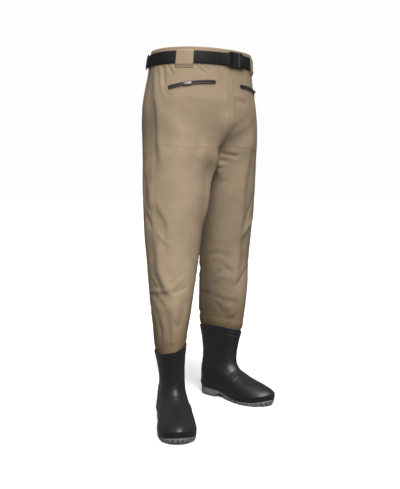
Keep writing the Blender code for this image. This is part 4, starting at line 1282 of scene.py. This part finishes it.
    def trace(self, side, path):
        """Points on the skin along a path of (turn, height in mm), one about every FOLD_STEP."""
        unwound = [path[0]]
        for turn, height in path[1:]:
            step = (turn - unwound[-1][0] + 180) % 360 - 180
            unwound.append((unwound[-1][0] + step, height))
        rough = [self.locate(side, p.x, p.y * MM) for p in smooth_path(unwound, 4 * len(path))]
        length = sum(np.linalg.norm(b - a) for a, b in zip(rough, rough[1:]))
        count = max(int(length / FOLD_STEP), 6)
        return np.array([self.locate(side, p.x, p.y * MM) for p in smooth_path(unwound, count)])


def beside(line, width, skin, normals):
    """The skin's points near a line, how far they lie to its left, and how much its ends let through."""
    path = skin.trace(line.side, line.path)
    run = np.gradient(path, axis=0)
    run /= np.linalg.norm(run, axis=1)[:, None]
    shares = np.linspace(0, 1, len(path))
    taper = eased(shares / FOLD_TAPER) * eased((1 - shares) / FOLD_TAPER)
    reach = FOLD_REACH * width
    inside = (skin.points > path.min(0) - reach) & (skin.points < path.max(0) + reach)
    near = np.flatnonzero(inside.all(1))
    spots = skin.points[near]
    closest = np.linalg.norm(spots[:, None] - path[None], axis=2).argmin(1)
    offset = spots - path[closest]
    across = (offset * np.cross(normals[near], run[closest])).sum(1)
    beyond = (offset * run[closest]).sum(1)
    own_side = line.side * (spots[:, 0] - WAIST_CENTRE.x)
    own_leg = eased((own_side + MIDDLE_OVERLAP) / MIDDLE_FADE)
    faces_out = (normals[near] * skin.facing(path, normals)[closest]).sum(1)
    facing = eased((faces_out - FACING_START) / FACING_FADE)
    return near, across, taper[closest] * bell(beyond, 2 * width) * own_leg * facing


def fold_shift(fold, skin, normals):
    """How far a fold moves each point of the skin in or out."""
    width = fold.width * MM
    near, across, fade = beside(fold, width, skin, normals)
    rise = -fold.depth * bell(across, width)
    rise += fold.left * bell(across - LIP_PLACE * width, width)
    rise += fold.right * bell(across + LIP_PLACE * width, width)
    shift = np.zeros(len(skin.points))
    shift[near] = rise * fade * MM
    return shift


def edge_shift(edge, skin, normals):
    """How far an edge moves each point of the skin: out along the edge, in on its side plane."""
    run = edge.run * MM
    near, across, fade = beside(edge, run, skin, normals)
    away = across * edge.way / run
    fall = np.clip(away, 0, None)
    plane = (1 - np.exp(-EDGE_STEEPNESS * fall**2)) * bell(fall, EDGE_RETURN)
    rise = edge.ridge * bell(away, EDGE_WIDTH) - edge.fall * plane
    shift = np.zeros(len(skin.points))
    shift[near] = rise * fade * MM
    return shift


def zip_distance(points):
    """Distance of each point from the nearer pocket zip."""
    lines = [zip_point(side, share / 30) for side in SIDES for share in range(31)]
    lines = np.array([tuple(point) for point in lines])
    return np.min(np.linalg.norm(points[:, None] - lines[None], axis=2), axis=1)


def drape(skin):
    """Moves the skin's points by the folds, the seam allowances and a soft unevenness."""
    normals = skin.normals()
    shift = np.zeros(len(skin.points))
    for fold in FOLDS:
        shift += fold_shift(fold, skin, normals)
    for edge in EDGES:
        shift += edge_shift(edge, skin, normals)
    for index, point in enumerate(skin.points):
        spot = Vector(point)
        shift[index] += sum(height * noise.noise(spot / size) for height, size in WAVES)
    for seam in SEAMS:
        width = SEAM_SPREAD * seam.spread + SEAM_WIDTH
        shift += fold_shift(Fold(seam.side, width, -seam.rise, 0.0, 0.0, seam.path), skin, normals)
    heights = skin.points[:, 2]
    shift *= np.clip((BELT_CLEAR + BELT_OVERLAP - heights) / BELT_FADE, 0, 1)
    high = np.flatnonzero(heights > ZIP_OUTER.height - ZIP_REACH)
    shift[high] *= np.clip((zip_distance(skin.points[high]) - ZIP_FLAT * ZIP_CLEAR) / ZIP_CLEAR, 0, 1)
    shift *= np.clip((heights - RIM_HEIGHT - RIM_CLEAR) / RIM_RUN, 0, 1)
    skin.points = skin.points + normals * shift[:, None]


def weave_map(piece, skin, hem):
    """A map in metres: round the leg, and up it. The hem's rings follow the waist's points."""
    places = np.zeros((len(skin.points), 2))
    for side in SIDES:
        for k, column in enumerate(skin.columns[side]):
            places[column, 0] = k * LEG_ROUND / COLUMNS
            places[column, 1] = skin.points[column, 2]
    places = np.concatenate([places, places[hem], places[hem]])
    corners = np.zeros(len(piece.data.loops), int)
    piece.data.loops.foreach_get("vertex_index", corners)
    found = places[corners].reshape(-1, 4, 2)
    split = (np.ptp(found[:, :, 0], axis=1) > LEG_ROUND / 2)[:, None] & (found[:, :, 0] < LEG_ROUND / 2)
    found[:, :, 0] += LEG_ROUND * split
    layer = piece.data.uv_layers.new(name="weave")
    layer.data.foreach_set("uv", found.ravel())


def make_trousers(skin, cloth):
    """The outer cloth, with its edge turned in at the waist."""
    normals = skin.normals()
    last = COLUMNS - CROTCH_COLUMNS
    tops = {side: [column[-1] for column in skin.columns[side]] for side in SIDES}
    hem = tops[RIGHT][CROTCH_COLUMNS : last + 1] + tops[LEFT][last - 1 : CROTCH_COLUMNS : -1]
    inner = skin.points[hem] - normals[hem] * CLOTH
    lower = inner - np.array((0, 0, HEM))
    points = np.concatenate([skin.points, inner, lower])
    count = len(hem)
    base = len(skin.points)
    faces = list(skin.faces)
    for k in range(count):
        n = (k + 1) % count
        faces.append((hem[k], hem[n], base + n, base + k))
        faces.append((base + k, base + n, base + count + n, base + count + k))
    trousers = new_piece("draped_trousers", points.tolist(), faces, cloth)
    weave_map(trousers, skin, hem)
    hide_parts("seat", "leg_right", "leg_left")


def make_lining(skin, backing):
    """The knitted inside: a coarser copy of the skin, a little within it."""
    normals = skin.normals()
    places = {}
    faces = []
    for side in SIDES:
        leg = len(skin.columns[side][0])
        rows = [*range(leg - 1, -1, -LINING_STEP)][::-1]
        seat = [*range(leg - 1, leg + SEAT_ROWS, LINING_STEP)]
        for k in range(0, COLUMNS, LINING_STEP):
            pair = [skin.columns[side][k], skin.columns[side][(k + LINING_STEP) % COLUMNS]]
            spans = [rows]
            if CROTCH_COLUMNS <= k < COLUMNS - CROTCH_COLUMNS:
                spans.append(seat)
            for span in spans:
                for low, high in zip(span, span[1:]):
                    corners = [pair[0][low], pair[1][low], pair[1][high], pair[0][high]]
                    faces.append(tuple(places.setdefault(corner, len(places)) for corner in corners))
    used = list(places)
    below = eased((BELT_CLEAR - LINING_START - skin.points[used, 2:]) / LINING_RUN)
    points = skin.points[used] - normals[used] * (LINING_DEPTH + FOLD_ROOM * below)
    lining = new_piece("tricot_lining", points.tolist(), faces, backing)


# Stitches


def stitch(start, end, up):
    """Points and faces of one stitch: a spindle that lies along the seam."""
    along = (end - start).normalized()
    across = along.cross(up).normalized()
    lift = across.cross(along).normalized()
    points = [start, end]
    for share in STITCH_ENDS:
        middle = start.lerp(end, share)
        for turn in range(4):
            angle = pi / 2 * turn
            points.append(middle + STITCH_RADIUS * (cos(angle) * across + sin(angle) * lift))
    faces = []
    for k in range(4):
        n = (k + 1) % 4
        faces += [(0, 2 + n, 2 + k), (1, 6 + k, 6 + n), (2 + k, 2 + n, 6 + n, 6 + k)]
    return points, faces


def make_stitches(name, lines, thread):
    """One piece with all stitches of a set of lines. A line is a list of (point, normal)."""
    points = []
    faces = []
    for line in lines:
        lengths = running_lengths([point for point, _ in line])
        start = 0.0
        while start + STITCH < lengths[-1]:
            ends = []
            for distance in (start, start + STITCH):
                index, share = span_at(lengths, distance)
                up = line[index][1]
                ends.append(line[index][0].lerp(line[index + 1][0], share) + up * 0.5 * STITCH_RADIUS)
            new_points, new_faces = stitch(*ends, up)
            base = len(points)
            points += new_points
            faces += [tuple(base + k for k in face) for face in new_faces]
            start += STITCH_PITCH
    stitches = new_piece(name, points, faces, thread)


def cloth_line(skin, tree, normals, side, path, aside):
    """A line on the draped cloth beside a path, as (point, normal)."""
    trace = skin.trace(side, path)
    run = np.gradient(trace, axis=0)
    line = []
    for spot, way in zip(trace, run):
        index = tree.find(spot)[1]
        up = Vector(normals[index])
        over = up.cross(Vector(way)).normalized()
        line.append((Vector(spot) + over * aside, up))
    return line


def make_seam_stitches(skin, thread):
    normals = skin.normals()
    tree = KDTree(len(skin.points))
    for index, point in enumerate(skin.points):
        tree.insert(point, index)
    tree.balance()
    lines = []
    for seam in SEAMS:
        for row in range(seam.rows):
            aside = (row - (seam.rows - 1) / 2) * seam.spread * MM
            lines.append(cloth_line(skin, tree, normals, seam.side, seam.path, aside))
    make_stitches("seam_stitches", lines, thread)


# Belt


def belt_edges(side, angle, offset):
    """Lower and upper edge of the belt at an angle round the waist, a distance off the cloth."""
    top = waist_edge(seat_point(side, angle, WAIST_HEIGHT)) - BELT_TOP_DROP
    return [seat_point(side, angle, height, offset) for height in (top - BELT_WIDTH, top)]


class WaistLine:
    """Distances along the belt, from the centre front, turned into angles round the waist."""

    STEPS = 180
    REACH = 0.002

    def __init__(self):
        self.angles = [pi * k / self.STEPS for k in range(self.STEPS + 1)]
        self.lengths = running_lengths([self.middle(LEFT, angle) for angle in self.angles])
        self.half = self.lengths[-1]

    @staticmethod
    def middle(side, angle):
        low, high = belt_edges(side, angle, 0.0)
        return (low + high) / 2

    def locate(self, distance):
        """Side and angle at a distance. It may run past the centre back."""
        distance = (distance + self.half) % (2 * self.half) - self.half
        side = LEFT if distance >= 0 else RIGHT
        index, share = span_at(self.lengths, abs(distance))
        return side, self.angles[index] + share * pi / self.STEPS

    def distance(self, angle):
        return self.lengths[round(angle / pi * self.STEPS)]

    def frame(self, distance):
        """Matrix with X along the belt to the wearer's left, Y off the cloth and Z down the belt."""
        side, angle = self.locate(distance)
        low, high = belt_edges(side, angle, 0.0)
        ahead = self.middle(*self.locate(distance + self.REACH))
        behind = self.middle(*self.locate(distance - self.REACH))
        along = (ahead - behind).normalized()
        up = (high - low).normalized()
        off = along.cross(up).normalized()
        matrix = Matrix((along, off, along.cross(off))).transposed().to_4x4()
        matrix.translation = (low + high) / 2
        return matrix


WAIST_LINE = WaistLine()
SLIDER_PLACE = -WAIST_LINE.distance(SLIDER_ANGLE)
BUCKLE_FRAME = WAIST_LINE.frame(BUCKLE_START + BUCKLE_LENGTH / 2)
SLIDER_FRAME = WAIST_LINE.frame(SLIDER_PLACE)


def edges_in(matrix, along, off):
    """Lower and upper edge of the strap in the frame of the buckle or the slider."""
    return [matrix @ Vector((along, off, drop)) for drop in (BELT_WIDTH / 2, -BELT_WIDTH / 2)]


def edges_on_cloth(place, off):
    """Lower and upper edge of the strap at a place along the waist."""
    return belt_edges(*WAIST_LINE.locate(place), off)


def strap_fold(way):
    """The strap's turn through a buckle half's window, from over its end bar to behind it."""
    end = BUCKLE_START if way > 0 else BUCKLE_START + BUCKLE_LENGTH
    bar = -way * BUCKLE_LENGTH / 2
    turn = (OVER_BAR - BODY_LAYER) / 2
    centre = bar + way * (BAR + STRAP_CLEAR)
    lines = [
        edges_on_cloth(end - way * FOLD_LENGTH, RETURN_LAYER),
        edges_on_cloth(end - way * FOLD_LENGTH / 2, (RETURN_LAYER + OVER_BAR) / 2),
        edges_in(BUCKLE_FRAME, bar - way * BAR_APPROACH, OVER_BAR),
        edges_in(BUCKLE_FRAME, centre, OVER_BAR),
    ]
    for angle in (pi / 4, pi / 2, 3 * pi / 4):
        along = centre + way * turn * sin(angle)
        lines.append(edges_in(BUCKLE_FRAME, along, BODY_LAYER + turn * (1 + cos(angle))))
    lines.append(edges_in(BUCKLE_FRAME, centre, BODY_LAYER))
    lines.append(edges_on_cloth(end - way * FOLD_LENGTH / 2, BODY_LAYER))
    return lines


def strap_lines():
    """Lower and upper edges of the strap's middle surface, from its end on the slider to its sewn tail."""
    half_bar = SLIDER_BAR / 2 + STRAP_CLEAR
    window = (SLIDER_BAR + SLIDER_WINDOW) / 2
    over_slider = [
        (-window, RETURN_LAYER + 0.0008),
        (-window + 0.0006, OVER_SLIDER - 0.0024),
        (-half_bar, OVER_SLIDER),
        (half_bar, OVER_SLIDER),
        (window - 0.0008, OVER_SLIDER - 0.0024),
        (window + 0.0002, RETURN_LAYER + 0.0008),
        (window + 0.0022, RETURN_LAYER),
    ]
    lines = [edges_in(SLIDER_FRAME, along, off) for along, off in over_slider]
    start = SLIDER_PLACE + window + SLIDER_EXIT
    end = BUCKLE_START - FOLD_LENGTH
    for k in range(RETURN_STEPS):
        lines.append(edges_on_cloth(start + (end - start) * k / RETURN_STEPS, RETURN_LAYER))
    lines += strap_fold(1)
    left_end = BUCKLE_START + BUCKLE_LENGTH
    start = BUCKLE_START - FOLD_LENGTH / 2
    end = left_end + FOLD_LENGTH / 2 - 2 * WAIST_LINE.half
    for k in range(1, BODY_STEPS):
        lines.append(edges_on_cloth(start + (end - start) * k / BODY_STEPS, BODY_LAYER))
    lines += reversed(strap_fold(-1))
    for share in (0.25, 0.5, 0.75, 1.0):
        lines.append(edges_on_cloth(left_end + FOLD_LENGTH + TAIL_LENGTH * share, RETURN_LAYER))
    return lines


def make_strap(webbing):
    """The webbing with its ribs: the strap is cut every half rib, thick and thin in turn."""
    lines = strap_lines()
    lengths = running_lengths([low for low, _ in lines])
    count = int(lengths[-1] / RIB_PITCH * 2)
    rings = []
    places = []
    for k in range(count + 1):
        distance = lengths[-1] * k / count
        index, share = span_at(lengths, distance)
        low = lines[index][0].lerp(lines[index + 1][0], share)
        high = lines[index][1].lerp(lines[index + 1][1], share)
        before = lines[max(index - 1, 0)][0]
        after = lines[min(index + 2, len(lines) - 1)][0]
        thick = (after - before).cross(high - low).normalized()
        half = STRAP / 2 - (RIB_HEIGHT if k % 2 else 0.0)
        ring = []
        for across in STRAP_ACROSS:
            edge = STRAP_EDGE if across in (0.0, 1.0) else 1.0
            ring.append((across, -half * edge))
        ring += [(across, -off) for across, off in reversed(ring)]
        rings.append([low.lerp(high, across) + thick * off for across, off in ring])
        places += [(distance, across * BELT_WIDTH) for across, _ in ring]
    strap = tube_piece("ribbed_belt_strap", rings, webbing)
    add_weave_map(strap, places)
    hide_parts("belt_strap")


def softened(node, width, material, body=BODY):
    """A moulded or cast piece with the solid's own form and its edges rounded."""
    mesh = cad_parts[node].data.copy()
    shape = bmesh.new()
    shape.from_mesh(mesh)
    bmesh.ops.remove_doubles(shape, verts=shape.verts, dist=0.01 * MM)
    bmesh.ops.dissolve_limit(shape, angle_limit=radians(1), verts=shape.verts, edges=shape.edges)
    shape.to_mesh(mesh)
    shape.free()
    mesh.shade_smooth()
    mesh.set_sharp_from_angle(angle=SHARP)
    mesh.materials.clear()
    mesh.materials.append(material)
    piece = link(bpy.data.objects.new(f"rounded_{node}", mesh))
    add_bevel(piece, width, segments=3)
    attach(piece, body)
    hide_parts(node)


def make_loop(name, side, angle, cloth, thread):
    """A wide cloth loop, sewn to the waist above and below the belt and standing off it between."""
    row = smooth_row(SEAT, WAIST_HEIGHT)
    spread = LOOP_WIDTH / 2 / (row.half_depth + (row.half_width - row.half_depth) * cos(angle) ** 2)
    sewn = SOFT_GAP + CLOTH / 2
    away = LOOP_STAND_OFF + CLOTH / 2
    drops = [LOOP_HEIGHT * k / LOOP_ROWS for k in range(LOOP_ROWS + 1)]
    shares = [k / (LOOP_COLUMNS // 2) - 1 for k in range(LOOP_COLUMNS + 1)]
    turns = [angle + spread * share for share in shares]

    def stand_off(drop, share):
        free = ease((drop - LOOP_LEAVES[0]) / LOOP_LEAVES[1])
        free *= ease((LOOP_HEIGHT - LOOP_RETURNS[0] - drop) / LOOP_RETURNS[1])
        rise, place, width = LOOP_HEM
        return sewn + (away - sewn) * free + float(rise * bell(abs(share) - place, width))

    def spot(drop, turn, off):
        height = waist_edge(seat_point(side, turn, WAIST_HEIGHT)) - LOOP_TOP_DROP - drop
        return seat_point(side, turn, height, off)

    def on_top(drop, turn, share):
        up = spot(drop, turn, 0.01) - spot(drop, turn, 0.0)
        return spot(drop, turn, stand_off(drop, share) + CLOTH / 2), up.normalized()

    rings = []
    for drop in drops:
        offs = [stand_off(drop, share) for share in shares]
        outside = [spot(drop, turn, off + CLOTH / 2) for turn, off in zip(turns, offs)]
        inside = [spot(drop, turn, off - CLOTH / 2) for turn, off in zip(turns, offs)]
        rings.append(outside + inside[::-1])
    loop = tube_piece(f"sewn_{name}", rings, cloth)
    corners = [vertex.co for vertex in loop.data.vertices]
    add_weave_map(loop, [(co.x + co.y, co.z) for co in corners])
    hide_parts(name)
    lines = [[on_top(drop, turn, 0) for turn in turns] for drop in LOOP_STITCH_DROPS]
    for share in LOOP_STITCH_SHARES:
        lines.append([on_top(drop, angle + spread * share, share) for drop in drops[2:-2]])
    make_stitches(f"{name}_stitches", lines, thread)


# Zip pockets


def zip_point(side, share, rise=0.0):
    """A point of the cloth under a pocket's zip, from its inner end, share 0, to its outer end, share 1."""
    angle = ZIP_INNER.angle + share * (ZIP_OUTER.angle - ZIP_INNER.angle)
    height = ZIP_INNER.height + share * (ZIP_OUTER.height - ZIP_INNER.height) - ZIP_DROP[side]
    return seat_point(side, angle, height + ZIP_RISE * sin(pi * share) + rise)


def zip_frame(side, share):
    """Matrix with X along the zip to its inner end, Y off the cloth and Z across the zip."""
    along = (zip_point(side, share - 0.01) - zip_point(side, share + 0.01)).normalized()
    up = zip_point(side, share, ZIP_WIDTH / 2) - zip_point(side, share, -ZIP_WIDTH / 2)
    off = side * up.cross(along).normalized()
    matrix = Matrix((along, off, along.cross(off))).transposed().to_4x4()
    matrix.translation = zip_point(side, share)
    return matrix


def zip_half_width(share):
    """Half the tape's width, with round ends."""
    end = min(share, 1 - share) * ZIP_LENGTH
    radius = ZIP_WIDTH / 2
    inside = max(radius - end, 0.0)
    return max((radius**2 - inside**2) ** 0.5, ZIP_END_HALF)


def make_zip(side, tape, cloth, thread):
    """The coated tape with its closed slit, and the narrow cloth lip round it."""
    shares = {*np.linspace(0, 1, ZIP_RINGS).tolist()}
    shares |= {*np.linspace(0, ZIP_END_SHARE, ZIP_END_RINGS).tolist()}
    shares |= {*np.linspace(1 - ZIP_END_SHARE, 1, ZIP_END_RINGS).tolist()}
    low = SOFT_GAP
    high = SOFT_GAP + ZIP_THICKNESS
    rings = []
    edge = []
    for share in sorted(shares):
        matrix = zip_frame(side, share)
        half = zip_half_width(share)
        profile = [
            (low, -half),
            (high - ZIP_ROUND_DOWN, -half),
            (high, -half + ZIP_ROUND_IN),
            (high, -ZIP_SLIT),
            (low + ZIP_SLIT_FLOOR, 0.0),
            (high, ZIP_SLIT),
            (high, half - ZIP_ROUND_IN),
            (high - ZIP_ROUND_DOWN, half),
            (low, half),
        ]
        rings.append([matrix @ Vector((0, off, across)) for off, across in profile])
        edge.append((share, half))
    name = f"pocket_zip_{SIDE_NAMES[side]}"
    zip_piece = tube_piece(f"coated_{name}", rings, tape)
    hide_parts(name)
    make_zip_lip(side, edge, cloth, thread)


def make_zip_lip(side, edge, cloth, thread):
    """A bead of turned cloth round the tape, and a row of stitches outside it."""
    path = [(share, half + LIP_GAP) for share, half in edge]
    path += [(share, -half - LIP_GAP) for share, half in edge[::-1]]
    points = []
    line = []
    for share, across in path:
        matrix = zip_frame(side, share)
        centre = matrix @ Vector((0, LIP_LIFT, across))
        out = 1 if across > 0 else -1
        for k in range(LIP_CORNERS):
            angle = 2 * pi * k / LIP_CORNERS
            aside = across + out * LIP_HALF_WIDTH * cos(angle)
            points.append(matrix @ Vector((0, LIP_HALF_HEIGHT * sin(angle), aside)))
        turn = matrix.to_3x3()
        up = (turn @ Vector((0, 1, 0))).normalized()
        line.append((centre + turn @ Vector((0, -LIP_STITCH_DOWN, out * LIP_STITCH_OUT)), up))
    faces = ring_faces(len(path), LIP_CORNERS, False)
    last = (len(path) - 1) * LIP_CORNERS
    for k in range(LIP_CORNERS):
        n = (k + 1) % LIP_CORNERS
        faces.append((last + k, last + n, n, k))
    name = f"zip_lip_{SIDE_NAMES[side]}"
    lip = new_piece(name, points, faces, cloth)
    lip.data.uv_layers.new(name="weave")
    make_stitches(f"{name}_stitches", [line], thread)


# Stage


def make_camera():
    camera = bpy.data.objects.new("photograph_camera", bpy.data.cameras.new("photograph_camera"))
    camera.data.sensor_width = SENSOR
    camera.data.lens = FOCAL_PIXELS * SENSOR / PHOTO_HEIGHT
    back = Vector((-sin(CAMERA_SIDE), -cos(CAMERA_SIDE))) * CAMERA_DISTANCE + CAMERA_AIM
    camera.location = (back.x, back.y, CAMERA_HEIGHT)
    camera.rotation_euler = (radians(90) + CAMERA_PITCH, 0, -CAMERA_SIDE)
    bpy.context.scene.camera = link(camera)


def make_floor(material):
    """A wide round floor."""
    turns = [2 * pi * k / FLOOR_CORNERS for k in range(FLOOR_CORNERS)]
    points = [(FLOOR_RADIUS * cos(turn), FLOOR_RADIUS * sin(turn), 0.0) for turn in turns]
    mesh = bpy.data.meshes.new("studio_floor")
    mesh.from_pydata(points, [], [tuple(range(FLOOR_CORNERS))])
    mesh.materials.append(material)
    floor = link(bpy.data.objects.new("studio_floor", mesh))
    floor.visible_diffuse = False
    floor.visible_glossy = False


def add_softbox(name, place, aim, size, power):
    """A square area light that looks at a point."""
    light = bpy.data.lights.new(name, "AREA")
    light.energy = power
    light.size = size
    lamp = link(bpy.data.objects.new(name, light))
    lamp.visible_camera = False
    lamp.location = place
    lamp.rotation_euler = (Vector(aim) - Vector(place)).to_track_quat("-Z", "Y").to_euler()


def add_sun(name, strength, spread, turns):
    """A far broad light. The turns in degrees are its tilt from straight down and its way round."""
    light = bpy.data.lights.new(name, "SUN")
    light.energy = strength
    light.angle = radians(spread)
    lamp = link(bpy.data.objects.new(name, light))
    lamp.rotation_euler = (radians(turns[0]), 0, radians(turns[1]))
    return lamp


def make_light():
    """A broad key from over the camera, a weaker back light and two softboxes.

    The surround is white to the camera and dim to everything else, so that the folds keep their contrast.
    """
    world = bpy.data.worlds.new("studio")
    world.use_nodes = True
    tree = world.node_tree
    white = (1.0, 1.0, 1.0, 1.0)
    seen = add_node(tree, "ShaderNodeBackground", {"Color": white, "Strength": SURROUND_SEEN})
    dim = add_node(tree, "ShaderNodeBackground", {"Color": white, "Strength": SURROUND_LIGHT})
    rays = add_node(tree, "ShaderNodeLightPath")
    parts = {0: rays.outputs["Is Camera Ray"], 1: dim.outputs[0], 2: seen.outputs[0]}
    mix = add_node(tree, "ShaderNodeMixShader", parts)
    tree.links.new(mix.outputs[0], tree.nodes["World Output"].inputs["Surface"])
    bpy.context.scene.world = world
    add_sun("key", strength=3.9, spread=40, turns=(42, -27))
    back = add_sun("back", strength=2.4, spread=50, turns=(62, 141))
    back.visible_glossy = False
    add_softbox("front", (-1.20, -1.60, 1.75), aim=(0.03, 0.03, 0.55), size=0.9, power=16)
    add_softbox("overhead", (-0.60, -1.00, 2.20), aim=(-0.10, -0.10, 0.05), size=1.2, power=19)
    bpy.context.scene.view_settings.view_transform = "Standard"


def main():
    cloth = laminated_nylon()
    thread = polyester_thread()
    plastic = acetal()
    zinc = die_cast_zinc()
    enamel = black_enamel()
    skin = Trousers()
    drape(skin)
    make_trousers(skin, cloth)
    make_lining(skin, tricot_backing())
    make_seam_stitches(skin, thread)
    pvc = moulded_pvc()
    compound = sole_compound()
    foam = felted_foam()
    tape = coated_zip_tape()
    for side in SIDES:
        make_boot(side, pvc)
        make_outsole(side, compound)
        make_zip(side, tape, cloth, thread)
        tag = SIDE_NAMES[side]
        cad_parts[f"insole_{tag}"].material_slots[0].material = foam
        softened(f"zip_slider_{tag}", CAST_ROUND, enamel)
        softened(f"zip_pull_{tag}", CAST_ROUND, zinc, body=f"pull_{tag}")
    make_strap(polypropylene_webbing())
    for node in ("belt_slider", "buckle_socket", "buckle_prongs"):
        softened(node, MOULDED_ROUND, plastic)
    for name, (side, angle) in LOOPS.items():
        make_loop(name, side, angle, cloth, thread)
    make_camera()
    make_floor(studio_board())
    make_light()


main()
